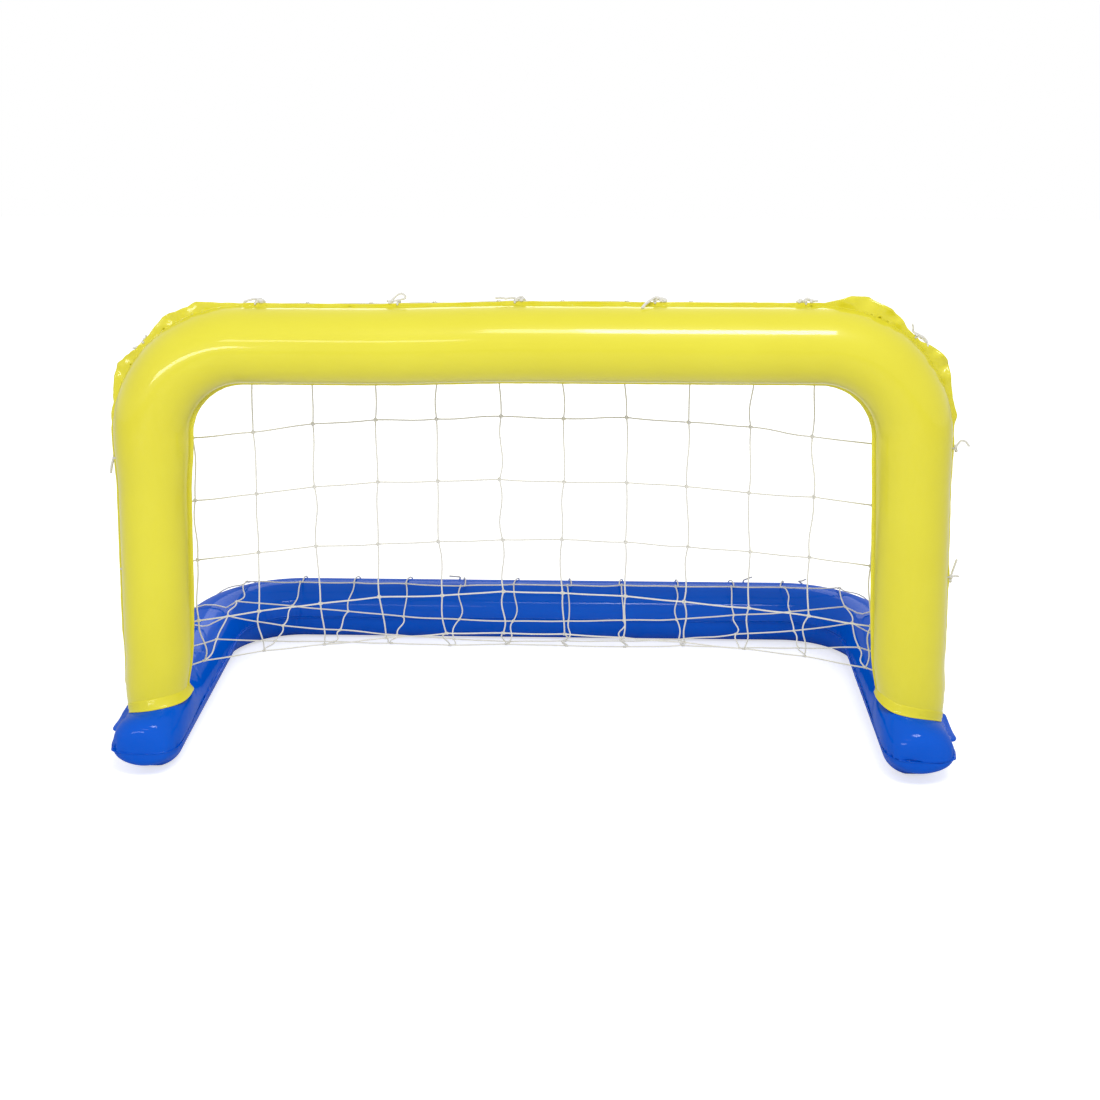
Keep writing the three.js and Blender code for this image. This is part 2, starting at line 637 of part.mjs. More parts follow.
// The plug is a cap with a tapered shaft and a strap that folds beside the stem's lip.
function valvePlug() {
  const seat = STEM_OUT + GAP;
  const cap = turned([
    [0, seat - PLUG_DEPTH],
    [PLUG_TIP_R, seat - PLUG_DEPTH],
    [PLUG_ROOT_R, seat],
    [PLUG_CAP_R, seat],
    [PLUG_CAP_R, seat + PLUG_CAP_T],
    [0, seat + PLUG_CAP_T],
  ]);
  const strap = block(
    new THREE.Vector3(-HINGE_REACH, -STRAP_WIDTH / 2, seat),
    new THREE.Vector3(0, STRAP_WIDTH / 2, seat + PLUG_CAP_T),
  );
  const knuckle = rod(
    new THREE.Vector3(-HINGE_REACH, -STRAP_WIDTH / 2, seat + PLUG_CAP_T / 2),
    new THREE.Vector3(-HINGE_REACH, STRAP_WIDTH / 2, seat + PLUG_CAP_T / 2),
    PLUG_CAP_T / 2,
    ROUND_SIDES / 2,
  );
  return cap.add(strap).add(knuckle);
}

// Net
// A knot's place follows the middle route at the middle column and the side route near the edge.
function route(shares, first, last) {
  const points = shares.map(([y, z]) => new THREE.Vector3(0, y * REAR_Y, z * BAR_Z));
  return new THREE.CatmullRomCurve3([...first, ...points, ...last], false, "centripetal");
}

const lying = CORD + NET_CLEAR; // from a tube's skin to the middle of a cord that lies on it
const tiedUp = lying + TIE_CORD; // and to one that a tie goes round

const barWrap = [NET_TOP_ANGLE, (NET_TOP_ANGLE + 90) / 2, 90].map((angle) => {
  const reach = ARCH_TUBE_R + tiedUp;
  const turn = radians(angle);
  return new THREE.Vector3(0, reach * Math.sin(turn), BAR_Z + reach * Math.cos(turn));
});
const rearWrap = [90, NET_REAR_ANGLE].map((angle) => {
  const reach = BASE_TUBE_R + tiedUp;
  const turn = radians(angle);
  return new THREE.Vector3(0, REAR_Y + reach * Math.cos(turn), seamZ + reach * Math.sin(turn));
});
const middleRoute = route(MIDDLE_ROUTE_SHARES, barWrap, rearWrap);
const sideStart = barWrap[0].clone().setZ(BAR_Z + ARCH_TUBE_R / 2);
const sideRoute = route(SIDE_ROUTE_SHARES, [sideStart], rearWrap);

// The nearest place on a tube's centre line, the way out of it there and the tube's radius.
function onArch(point) {
  const side = Math.sign(point.x) || 1;
  const x = Math.abs(point.x);
  if (x <= BAR_HALF && point.z > bendZ) {
    const foot = new THREE.Vector3(point.x, 0, BAR_Z);
    return { foot, out: new THREE.Vector3(0, 0, 1), radius: ARCH_TUBE_R };
  }
  const fromCentre = new THREE.Vector2(x - BAR_HALF, point.z - bendZ);
  if (fromCentre.y > fromCentre.x * Math.tan(splay)) {
    const out = new THREE.Vector3(side * fromCentre.x, 0, fromCentre.y).normalize();
    const foot = new THREE.Vector3(side * BAR_HALF, 0, bendZ).addScaledVector(out, ARCH_BEND_R);
    return { foot, out, radius: ARCH_TUBE_R };
  }
  const axisPoint = postPoint(side, point.z);
  const out = new THREE.Vector3(side * Math.cos(splay), 0, Math.sin(splay));
  const down = new THREE.Vector3(side * Math.sin(splay), 0, -Math.cos(splay));
  const offset = point.clone().setY(0).sub(axisPoint);
  const foot = axisPoint.addScaledVector(down, offset.dot(down));
  return { foot, out, radius: footTaper(foot.z) };
}

function onBase(point) {
  const side = Math.sign(point.x) || 1;
  const x = Math.abs(point.x);
  const bendX = armX - BASE_BEND_R;
  const bendY = REAR_Y - BASE_BEND_R;
  if (point.y <= bendY) {
    const foot = new THREE.Vector3(side * armX, point.y, seamZ);
    return { foot, out: new THREE.Vector3(side, 0, 0), radius: BASE_TUBE_R };
  }
  if (x <= bendX) {
    const foot = new THREE.Vector3(point.x, REAR_Y, seamZ);
    return { foot, out: new THREE.Vector3(0, 1, 0), radius: BASE_TUBE_R };
  }
  const out = new THREE.Vector3(side * (x - bendX), point.y - bendY, 0).normalize();
  const foot = new THREE.Vector3(side * bendX, bendY, seamZ).addScaledVector(out, BASE_BEND_R);
  return { foot, out, radius: BASE_TUBE_R };
}

// The net is tied to the tubes' outer margins, so its edges are drawn in round the bends.
function tuck(point, near, limit) {
  const beyond = point.clone().sub(near.foot).dot(near.out) - limit;
  if (beyond > 0) point.addScaledVector(near.out, -beyond);
  return point;
}

// It lies on the tubes and never inside them.
function lift(point, near, clearance) {
  const offset = point.clone().sub(near.foot);
  const short = near.radius + clearance - offset.length();
  if (short > 0) point.addScaledVector(offset.normalize(), short);
  return short > GAP;
}

// A side border lies on the tube that it is tied to.
function rest(point, near, back, clearance) {
  const out = point.clone().sub(near.foot).dot(near.out);
  const height = Math.sqrt((near.radius + clearance) ** 2 - out ** 2);
  point.copy(near.foot).addScaledVector(near.out, out).addScaledVector(back, height);
}

function settle(point, clearance) {
  const onTube = lift(point, onArch(point), clearance);
  return lift(point, onBase(point), clearance) || onTube;
}

function netKnot(column, row) {
  const fromMiddle = (2 * column) / (COLUMNS - 1) - 1;
  const share = row / (ROWS - 1);
  const mouthHalf = MOUTH_NET_SHARE * (BAR_HALF + ARCH_BEND_R);
  const half = mouthHalf + (REAR_NET_SHARE * armX - mouthHalf) * share;
  const point = middleRoute.getPointAt(share);
  const droop = (fromMiddle / SIDE_COLUMN_SHARE) ** 2;
  point.lerp(sideRoute.getPointAt(share), droop);
  point.x = fromMiddle * half;
  const isBorder = column === 0 || column === COLUMNS - 1;
  const onPost = point.y < BASE_BEND_R / 2;
  tuck(point, onPost ? onArch(point) : onBase(point), onPost ? NET_TUCK : REAR_TUCK);
  if (isBorder && onPost) rest(point, onArch(point), new THREE.Vector3(0, 1, 0), tiedUp);
  if (isBorder && !onPost) rest(point, onBase(point), new THREE.Vector3(0, 0, 1), tiedUp);
  settle(point, tiedUp);
  return point;
}

// The cord between two knots, in pieces where it wraps a tube.
function strandPoints(from, to, clearance) {
  const points = [];
  let wraps = false;
  for (let k = 1; k < WRAP_STEPS; k++) {
    const point = from.clone().lerp(to, k / WRAP_STEPS);
    if (settle(point, clearance)) wraps = true;
    points.push(point);
  }
  return wraps ? points : [];
}

// One closed sheet of square cords: each knot has a top and a bottom face, and each cord runs from
// a side of one knot to the facing side of the next. The outermost sides of the edge knots are capped.
function netGeometry() {
  const rows = Array.from({ length: ROWS }, (_, r) => r);
  const knots = Array.from({ length: COLUMNS }, (_, c) => rows.map((r) => netKnot(c, r)));
  const half = CORD / 2;
  const positions = [];
  const index = [];
  const add = (point) => positions.push(...point.toArray()) / 3 - 1;
  const quad = (a, b, c, d) => index.push(a, b, c, a, c, d);
  const frames = knots.map((line, c) =>
    line.map((point, r) => {
      const acrossFrom = knots[Math.max(c - 1, 0)][r];
      const acrossTo = knots[Math.min(c + 1, COLUMNS - 1)][r];
      const across = acrossTo.clone().sub(acrossFrom).normalize();
      const down = line[Math.min(r + 1, ROWS - 1)].clone().sub(line[Math.max(r - 1, 0)]).normalize();
      const normal = new THREE.Vector3().crossVectors(across, down).normalize();
      down.crossVectors(normal, across);
      const corner = (a, b, n) =>
        add(
          point
            .clone()
            .addScaledVector(across, a * half)
            .addScaledVector(down, b * half)
            .addScaledVector(normal, n * half),
        );
      const face = (n) => [corner(-1, -1, n), corner(1, -1, n), corner(1, 1, n), corner(-1, 1, n)];
      return { point, normal, front: face(1), rear: face(-1) };
    }),
  );
  // The four sides of a knot in turn: before the row, past the column, after the row, before the column.
  const sideRing = ({ front, rear }, side) => {
    const next = (side + 1) % 4;
    return [front[side], front[next], rear[next], rear[side]];
  };
  const cap = (ring) => quad(ring[0], ring[3], ring[2], ring[1]);
  const strand = (from, to, sideOut, sideIn, isBorder) => {
    const start = sideRing(from, sideOut);
    const facing = sideRing(to, sideIn);
    const end = [facing[1], facing[0], facing[3], facing[2]];
    const rings = [start];
    const way = to.point.clone().sub(from.point).normalize();
    for (const point of strandPoints(from.point, to.point, isBorder ? tiedUp : lying)) {
      const normal = from.normal.clone().add(to.normal).normalize();
      const side = new THREE.Vector3().crossVectors(normal, way).normalize().multiplyScalar(half);
      normal.crossVectors(way, side).normalize().multiplyScalar(half);
      const ringAt = (s, n) => add(point.clone().addScaledVector(side, s).addScaledVector(normal, n));
      rings.push([ringAt(-1, 1), ringAt(1, 1), ringAt(1, -1), ringAt(-1, -1)]);
    }
    rings.push(end);
    for (let k = 0; k + 1 < rings.length; k++) {
      for (let s = 0; s < 4; s++) {
        const n = (s + 1) % 4;
        quad(rings[k][s], rings[k + 1][s], rings[k + 1][n], rings[k][n]);
      }
    }
  };
  frames.forEach((line, c) =>
    line.forEach((knot, r) => {
      quad(...knot.front);
      quad(...[...knot.rear].reverse());
      const onRowBorder = r === 0 || r === ROWS - 1;
      const onColumnBorder = c === 0 || c === COLUMNS - 1;
      if (c + 1 < COLUMNS) strand(knot, frames[c + 1][r], 1, 3, onRowBorder);
      if (r + 1 < ROWS) strand(knot, line[r + 1], 2, 0, onColumnBorder);
      if (c === 0) cap(sideRing(knot, 3));
      if (c === COLUMNS - 1) cap(sideRing(knot, 1));
      if (r === 0) cap(sideRing(knot, 0));
      if (r === ROWS - 1) cap(sideRing(knot, 2));
    }),
  );
  const geometry = new THREE.BufferGeometry();
  geometry.setAttribute("position", new THREE.Float32BufferAttribute(positions, 3));
  geometry.setIndex(index);
  return geometry;
}

// Every point along the net's border, knot to knot.
function borderPoints() {
  const lastColumn = COLUMNS - 1;
  const lastRow = ROWS - 1;
  const places = [];
  for (let c = 0; c < lastColumn; c++) places.push([c, 0]);
  for (let r = 0; r < lastRow; r++) places.push([lastColumn, r]);
  for (let c = lastColumn; c > 0; c--) places.push([c, lastRow]);
  for (let r = lastRow; r > 0; r--) places.push([0, r]);
  const knots = places.map(([c, r]) => netKnot(c, r));
  return knots.flatMap((knot, k) => [knot, ...strandPoints(knot, knots[(k + 1) % knots.length], tiedUp)]);
}

// Where the net's border crosses the plane of a tie, measured outwards and backwards from its seat.
function borderAt(seat, border) {
  let best = null;
  border.forEach((from, k) => {
    const to = border[(k + 1) % border.length];
    const start = from.clone().sub(seat.origin).dot(seat.along);
    const end = to.clone().sub(seat.origin).dot(seat.along);
    if (start * end > 0 || start === end) return;
    const offset = from.clone().lerp(to, start / (start - end)).sub(seat.origin);
    if (!best || offset.length() < best.length()) best = offset;
  });
  return { outwards: best.dot(seat.out), back: best.dot(seat.back) };
}

// Ties
// A tie goes through its hole, round the net's border cord and back over the margin's edge, where
// its ends are knotted.
function tieSolid(seat, border) {
  const { outwards: netOut, back: netBack } = borderAt(seat, border);
  const thick = TIE_CORD / 2;
  const place = (out, back) =>
    seat.origin.clone().addScaledVector(seat.out, out).addScaledVector(seat.back, back);
  const round = (radius, angle) => place(radius * Math.cos(angle), radius * Math.sin(angle));
  const netR = Math.hypot(netOut, netBack);
  const netAngle = Math.atan2(netBack, netOut);
  const ringR = CORD * Math.SQRT1_2 + thick + TIE_CLEAR;
  const hole = seat.tube + TIE_HOLE_UP;
  const rim = seat.tube + seat.edge + thick + TIE_CLEAR;
  const front = halfGap + SKIN + thick + TIE_CLEAR;
  const under = seat.tube + thick + 2 * GAP;
  const over = netR + ringR;
  const overStart = Math.max(rim, under + 2 * thick + GAP);
  const loop = new THREE.CatmullRomCurve3(
    [
      place(hole, -front),
      place(hole, 0),
      place(hole - thick / 2, front),
      round((under + Math.min(hole, netR - ringR)) / 2, (2 * netAngle) / 3),
      round(netR - ringR, netAngle),
      round(netR, netAngle + ringR / netR),
      round(over, netAngle),
      round((over + overStart) / 2, netAngle / 2),
      place(rim, front / 2),
      place(rim + thick / 2, 0),
      place(rim, -front / 2),
    ],
    true,
    "centripetal",
  );
  const ring = solid(new THREE.TubeGeometry(loop, LOOP_STEPS, thick, CORD_SIDES, true));
  const knotCentre = place(seat.tube + seat.edge + KNOT_R + GAP, 0);
  const knot = new THREE.IcosahedronGeometry(KNOT_R).translate(...knotCentre.toArray());
  const tails = seat.tails.map(([along, out, back]) => {
    const end = knotCentre
      .clone()
      .addScaledVector(seat.along, along)
      .addScaledVector(seat.out, out)
      .addScaledVector(seat.back, back);
    const middle = knotCentre.clone().lerp(end, 1 / 2).addScaledVector(seat.out, KNOT_R);
    return cordSolid(new THREE.QuadraticBezierCurve3(knotCentre, middle, end), thick);
  });
  return tails.reduce((whole, tail) => whole.add(tail), ring.add(solid(knot)));
}

function cordSolid(curve, radius) {
  const corners = Array.from({ length: CORD_SIDES }, (_, k) => {
    const turn = (2 * Math.PI * k) / CORD_SIDES;
    return new THREE.Vector2(radius * Math.cos(turn), radius * Math.sin(turn));
  });
  const section = new THREE.Shape(corners);
  const cord = new THREE.ExtrudeGeometry(section, { steps: TAIL_STEPS, extrudePath: curve });
  return solid(cord);
}

// Assembly
const goal = new THREE.Group();

function place(name, manifold, material, matrix) {
  const mesh = new THREE.Mesh(geometryOf(manifold), material.clone());
  mesh.name = name;
  if (matrix) mesh.applyMatrix4(matrix);
  goal.add(mesh);
}

const archHole = valveHole(VALVES.arch);
const baseHole = valveHole(VALVES.base);

place("arch_front_panel", archPanel(true), MATERIALS.yellow);
place("arch_rear_panel", archPanel(false).subtract(archHole), MATERIALS.yellow);
place("base_top_panel", basePanel(true), MATERIALS.blue);
place("base_bottom_panel", basePanel(false).subtract(baseHole), MATERIALS.blue);

for (const [name, side] of Object.entries({ left: -1, right: 1 })) {
  place(name + "_post_end_disc", footDisc(side), MATERIALS.yellow);
  place(name + "_post_hem", footHem(side), MATERIALS.hem);
  place(name + "_side_tab", sideTab(side), MATERIALS.blue);
}

for (const [name, valve] of Object.entries(VALVES)) {
  const frame = valveFrame(valve);
  place(name + "_valve_flange", valveFlange(valve), MATERIALS.clear);
  place(name + "_valve_stem", valveStem(), MATERIALS.clear, frame);
  place(name + "_valve_flap", valveFlap(), MATERIALS.clear, frame);
  place(name + "_valve_plug", valvePlug(), MATERIALS.clear, frame);
}

place("net", solid(netGeometry()), MATERIALS.cord);

const border = borderPoints();
archSeats().forEach((seat, k) => place("arch_tie_" + (k + 1), tieSolid(seat, border), MATERIALS.cord));
baseSeats().forEach((seat, k) => place("base_tie_" + (k + 1), tieSolid(seat, border), MATERIALS.cord));

// The part's origin is under the middle of its box, on the floor.
const extent = new THREE.Box3().setFromObject(goal);
const middle = extent.getCenter(new THREE.Vector3());
goal.position.set(-middle.x, -middle.y, -extent.min.z);

export default goal;
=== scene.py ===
# An inflatable water polo goal: a yellow arch on a blue U-shaped base, with a knotted net tied behind it.
# The shapes are worked out in millimetres in the goal's own frame, with y = 0 in the arch's plane, and
# become metres in the row's frame when a mesh is made.
import math

import bpy
import numpy as np
from mathutils import Matrix, Vector, noise


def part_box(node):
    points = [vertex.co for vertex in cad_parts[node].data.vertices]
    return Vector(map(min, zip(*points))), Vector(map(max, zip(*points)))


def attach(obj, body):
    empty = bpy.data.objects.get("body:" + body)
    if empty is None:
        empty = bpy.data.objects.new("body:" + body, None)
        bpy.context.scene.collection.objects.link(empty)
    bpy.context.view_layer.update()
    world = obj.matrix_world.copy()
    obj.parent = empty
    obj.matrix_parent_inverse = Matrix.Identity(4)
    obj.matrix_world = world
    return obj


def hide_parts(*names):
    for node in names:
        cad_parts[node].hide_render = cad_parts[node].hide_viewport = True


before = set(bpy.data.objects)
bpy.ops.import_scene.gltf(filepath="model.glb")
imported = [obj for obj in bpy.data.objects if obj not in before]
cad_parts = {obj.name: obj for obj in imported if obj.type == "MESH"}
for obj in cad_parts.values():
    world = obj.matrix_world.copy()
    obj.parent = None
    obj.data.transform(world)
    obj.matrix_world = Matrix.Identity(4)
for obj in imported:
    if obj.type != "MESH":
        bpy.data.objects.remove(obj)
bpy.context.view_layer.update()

# Sizes, in millimetres
SKIN = 0.6  # thickness of the vinyl
HALF_GAP = 0.15  # half of the gap at a seam
CORD_R = 1.3
TIE_R = 0.9
# The arch
TUBE_R = 60.0
BAR_Z = 714.0  # centre line of the crossbar
BAR_HALF = 448.0  # half of the straight crossbar
BEND_R = 150.0
BEND_Z = BAR_Z - BEND_R
SPLAY_DEG = 3.08  # the posts lean outwards at the bottom
SPLAY = math.radians(SPLAY_DEG)
# The base
BASE_R = 56.8
BASE_FLAT = 2.0  # depth of the flat that the base rests on
SEAM_Z = BASE_R - BASE_FLAT
ARM_X = 635.0  # centre line of each arm
REAR_Y = 547.0  # centre line of the rear tube
BASE_BEND_R = 165.0
BASE_BEND_X = ARM_X - BASE_BEND_R  # middle of each bend
BASE_BEND_Y = REAR_Y - BASE_BEND_R
NOSE = 54.0  # length of the rounded nose
NOSE_TIP = -99.0  # its tip, before the arch's plane
SHOULDER = 11.4  # swelling of the base's top under each post
SHOULDER_AT = 45  # degrees up from the inner side
SHOULDER_SPREAD = 35
TOP_SHIFT = 11  # the base's top leans inwards under each post
FOOT_LENGTH = 75  # how far along the arm a post's weight is felt
POST_FOOT_UP = 26  # the post's tube ends this far above the base's seam
HEM_Z = SEAM_Z + 0.75 * BASE_R  # about where the posts' hems lie
DISC_Z = 110  # about where the post's end disc lies
HEM_MID_Z = 100  # about the middle of a hem's free edge

# The arch's plane in the row's frame, in metres: its front panel ends half a gap before it.
ARCH_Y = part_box("arch_front_panel")[1][1] + 0.00015

STATION_STEP = 4.0
# Stations lie closer on the bends, by these shares
ARCH_BEND_SHARE = 0.55
BASE_BEND_SHARE = 0.6


def unit(v):
    v = np.asarray(v, float)
    return v / (np.linalg.norm(v, axis=-1, keepdims=True) + 1e-12)


def smooth(x, low, high):
    t = np.clip((np.asarray(x, float) - low) / (high - low), 0, 1)
    return t * t * (3 - 2 * t)


def lobe(x, at, spread):
    """A soft bump, 1 in its middle and 0 far from it."""
    return np.exp(-(((x - at) / spread) ** 2))


def wave(s, period, seed):
    """Smooth noise along a line, from -1 to 1, one swell per period."""
    s = np.atleast_1d(np.asarray(s, float))
    return np.array([noise.noise(Vector((v / period * 2, seed * 7.31, 0.37))) * 1.8 for v in s])


def wave2(u, v, seed):
    """Smooth noise over two grids of coordinates."""
    flat = [noise.noise(Vector((a, b, seed * 5.17))) * 1.8 for a, b in zip(np.ravel(u), np.ravel(v))]
    return np.array(flat).reshape(np.shape(u))


def to_row(points):
    points = np.asarray(points, float) / 1000
    return points + np.array([0, ARCH_Y, 0])


def add_object(name, data):
    obj = bpy.data.objects.new(name, data)
    bpy.context.scene.collection.objects.link(obj)
    return obj


def make(name, verts, faces, material):
    mesh = bpy.data.meshes.new(name)
    mesh.from_pydata(to_row(verts).tolist(), [], [tuple(f) for f in faces])
    mesh.validate()
    mesh.update()
    obj = add_object(name, mesh)
    mesh.materials.append(material)
    mesh.polygons.foreach_set("use_smooth", [True] * len(mesh.polygons))
    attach(obj, "root")
    return obj


def grid_faces(rows, cols, close_cols=False, flip=False):
    faces = []
    last = cols if close_cols else cols - 1
    for i in range(rows - 1):
        for j in range(last):
            k = (j + 1) % cols
            f = (i * cols + j, i * cols + k, (i + 1) * cols + k, (i + 1) * cols + j)
            faces.append(f[::-1] if flip else f)
    return faces


# The way each valve points out of its tube: the base's valve is turned down from level
BASE_VALVE_DOWN = math.radians(35)
VALVE_AXES = {
    "arch_valve_flap": (0, 1, 0),
    "base_valve_flap": (0, math.cos(BASE_VALVE_DOWN), -math.sin(BASE_VALVE_DOWN)),
}
VALVE_OPENING_R = 8.5
VALVE_OPENING_DEPTH = 40  # so that only the skin beside the valve is cut


def opened(faces, points):
    """The faces of a sheet that stay once it is cut open for the valves' stems, under their flanges."""
    keep = np.ones(len(points), bool)
    for flap, axis in VALVE_AXES.items():
        middle = np.mean(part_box(flap), axis=0) * 1000 - [0, ARCH_Y * 1000, 0]
        off = points - middle
        along = off @ np.array(axis)
        far = np.linalg.norm(off - along[:, None] * axis, axis=1)
        keep &= (far > VALVE_OPENING_R) | (np.abs(along) > VALVE_OPENING_DEPTH)
    return [f for f in faces if all(keep[i] for i in f)]


# A cord's end: its length and radius, as shares of the cord's radius
END_LENGTH = 0.7
END_R = 0.45


class Build:
    """Collects tubes and knots into one mesh."""

    def __init__(self):
        self.verts = []
        self.faces = []

    def add(self, verts, faces):
        n = len(self.verts)
        self.verts.extend(np.asarray(verts, float).tolist())
        self.faces.extend(tuple(n + i for i in f) for f in faces)

    def tube(self, path, radius, sides, closed=False):
        path = np.asarray(path, float)
        n = len(path)
        if closed:
            tangent = unit(np.roll(path, -1, 0) - np.roll(path, 1, 0))
        else:
            tangent = unit(np.gradient(path, axis=0))
        side = np.cross(tangent[0], [0.13, 0.29, 0.95])
        frames = []
        for t in tangent:
            side = unit(side - t * np.dot(side, t))
            frames.append(side)
        side = np.array(frames)
        up = np.cross(tangent, side)
        r = np.broadcast_to(np.asarray(radius, float), (n,))
        if not closed:
            # a rounded end on each side
            first = path[0] - tangent[0] * r[0] * END_LENGTH
            last = path[-1] + tangent[-1] * r[-1] * END_LENGTH
            path = np.concatenate([[first], path, [last]])
            side = np.concatenate([side[:1], side, side[-1:]])
            up = np.concatenate([up[:1], up, up[-1:]])
            r = np.concatenate([[r[0] * END_R], r, [r[-1] * END_R]])
            n += 2
        a = np.arange(sides) * 2 * math.pi / sides
        ring = path[:, None] + r[:, None, None] * (
            np.cos(a)[:, None] * side[:, None] + np.sin(a)[:, None] * up[:, None])
        faces = grid_faces(n, sides, close_cols=True, flip=True)
        last_ring = (n - 1) * sides
        if closed:
            for j in range(sides):
                k = (j + 1) % sides
                faces.append((last_ring + k, last_ring + j, j, k))
        else:
            faces.append(tuple(range(sides)))
            faces.append(tuple(range(last_ring, n * sides))[::-1])
        self.add(ring.reshape(-1, 3), faces)

    def knot(self, centre, along, normal, size, cord, steps, sides):
        """A small overhand knot: a trefoil of cord pulled tight."""
        along = unit(along)
        normal = unit(normal - along * np.dot(normal, along))
        across = np.cross(along, normal)
        t = np.linspace(0, 2 * math.pi, steps, endpoint=False)
        x = np.sin(t) + 2 * np.sin(2 * t)
        y = np.cos(t) - 2 * np.cos(2 * t)
        z = -1.3 * np.sin(3 * t)
        trefoil = x[:, None] * along + y[:, None] * across * 0.85 + z[:, None] * normal * 0.8
        self.tube(centre + size / 3 * trefoil, cord, sides, closed=True)


SPLINE_STEPS = 24  # between two points, before the curve is divided evenly


def spline(points, count, closed=False):
    """A centripetal Catmull-Rom curve through the points, at even distances along it."""
    p = np.asarray(points, float)
    if closed:
        p = np.concatenate([p[-1:], p, p[:2]])
    else:
        p = np.concatenate([[2 * p[0] - p[1]], p, [2 * p[-1] - p[-2]]])
    fine = []
    for a, b, c, d in zip(p[:-3], p[1:-2], p[2:-1], p[3:]):
        da, db, dc = (max(np.linalg.norm(v) ** 0.5, 1e-3) for v in (b - a, c - b, d - c))
        ta = ((b - a) / da - (c - a) / (da + db) + (c - b) / db) * db
        tb = ((c - b) / db - (d - b) / (db + dc) + (d - c) / dc) * db
        u = np.linspace(0, 1, SPLINE_STEPS, endpoint=False)[:, None]
        fine.append(b + ta * u + (3 * (c - b) - 2 * ta - tb) * u ** 2 + (2 * (b - c) + ta + tb) * u ** 3)
    fine = np.concatenate(fine + [p[-2:-1]])
    run = np.concatenate([[0], np.cumsum(np.linalg.norm(np.diff(fine, axis=0), axis=1))])
    at = np.linspace(0, run[-1], count + 1)[:-1] if closed else np.linspace(0, run[-1], count)
    return np.stack([np.interp(at, run, fine[:, k]) for k in range(3)], 1)


# The camera
camera_data = bpy.data.cameras.new("camera")
camera_data.sensor_width = 36
camera_data.lens = 53.03
camera_data.clip_start = 0.05
camera_data.clip_end = 60
camera = add_object("camera", camera_data)
camera.location = (0.1019, -2.4553 + ARCH_Y, 1.2565)
look = Vector((-0.0273, 0.9409, -0.3376)).normalized()
right = look.cross(Vector((0, 0, 1))).normalized()
up = right.cross(look)
camera.rotation_euler = Matrix((right, up, -look)).transposed().to_euler()
bpy.context.scene.camera = camera


# Materials
WHITE = (1, 1, 1, 1)


def set_inputs(shader, **inputs):
    for key, value in inputs.items():
        shader.inputs[key.replace("_", " ")].default_value = value
    return shader


def add_node(nt, kind, **inputs):
    return set_inputs(nt.nodes.new("ShaderNode" + kind), **inputs)


def material(name, colour, rough, **inputs):
    m = bpy.data.materials.new(name)
    m.use_nodes = True
    nt = m.node_tree
    return m, nt, set_inputs(nt.nodes["Principled BSDF"], Base_Color=(*colour, 1), Roughness=rough, **inputs)


def noise_texture(nt, coord, scale, detail):
    texture = add_node(nt, "TexNoise", Scale=scale, Detail=detail)
    nt.links.new(coord.outputs["Object"], texture.inputs["Vector"])
    return texture


def bump(nt, height, distance, below=None):
    raised = add_node(nt, "Bump", Strength=1, Distance=distance)
    nt.links.new(height.outputs["Fac"], raised.inputs["Height"])
    if below:
        nt.links.new(below.outputs["Normal"], raised.inputs["Normal"])
    return raised


def two_tones(nt, texture, low, high, edge):
    """A colour between the two, by the texture's value."""
    blend = add_node(nt, "ValToRGB")
    ends = blend.color_ramp.elements
    ends[0].position = edge
    ends[1].position = 1 - edge
    ends[0].color = (*low, 1)
    ends[1].color = (*high, 1)
    nt.links.new(texture.outputs["Fac"], blend.inputs["Fac"])
    return blend.outputs["Color"]


def vinyl(name, colour, deep, rough, swell, gloss, coat):
    """Inflated vinyl: an even colour that is deeper in large soft patches, a faint grain and long soft
    swells in the surface."""
    m, nt, bsdf = material(name, colour, rough, Specular_IOR_Level=gloss, Coat_Weight=coat,
                           Coat_Roughness=0.08)
    coord = add_node(nt, "TexCoord")
    patches = noise_texture(nt, coord, 7, 2)
    nt.links.new(two_tones(nt, patches, deep, colour, 0.25), bsdf.inputs["Base Color"])
    shine = add_node(nt, "MapRange", To_Min=rough - 0.04, To_Max=rough + 0.05)
    nt.links.new(patches.outputs["Fac"], shine.inputs["Value"])
    nt.links.new(shine.outputs["Result"], bsdf.inputs["Roughness"])
    swells = bump(nt, noise_texture(nt, coord, 26, 2), swell)
    grain = bump(nt, noise_texture(nt, coord, 900, 3), 0.00002, swells)
    nt.links.new(grain.outputs["Normal"], bsdf.inputs["Normal"])
    return m


def cord_material(name, colour):
    """Matt twisted cord: fine slanting plies, with painted shade in their grooves, and a little fuzz."""
    m, nt, bsdf = material(name, colour, 0.85, Sheen_Weight=0.3, Sheen_Roughness=0.5,
                           Specular_IOR_Level=0.25)
    coord = add_node(nt, "TexCoord")
    plies = add_node(nt, "TexWave", Scale=260, Distortion=1.5, Detail=2)
    plies.wave_type = "BANDS"
    plies.bands_direction = "DIAGONAL"
    nt.links.new(coord.outputs["Object"], plies.inputs["Vector"])
    # painted shade: the cord's colour is 8% darker where the plies' bump lies low, in the grooves between
    # them
    painted_groove_shade = [c * 0.92 for c in colour]
    nt.links.new(two_tones(nt, plies, painted_groove_shade, colour, 0), bsdf.inputs["Base Color"])
    ridges = bump(nt, plies, 0.0003)
    nt.links.new(ridges.outputs["Normal"], bsdf.inputs["Normal"])
    return m


YELLOW = vinyl("yellow_vinyl", (0.695, 0.640, 0.029), (0.665, 0.600, 0.023), 0.36, 0.0004, 0.22, 0.65)
HEM = vinyl("hem_vinyl", (0.695, 0.642, 0.034), (0.645, 0.575, 0.026), 0.42, 0.0006, 0.18, 0.3)
BLUE = vinyl("blue_vinyl", (0.0, 0.094, 0.61), (0.0, 0.082, 0.55), 0.3, 0.0004, 0.0, 0.28)
VALVE = vinyl("valve_vinyl", (0.74, 0.77, 0.79), (0.66, 0.70, 0.73), 0.35, 0.0001, 0.4, 0.05)
CORD = cord_material("net_cord", (0.75, 0.735, 0.69))


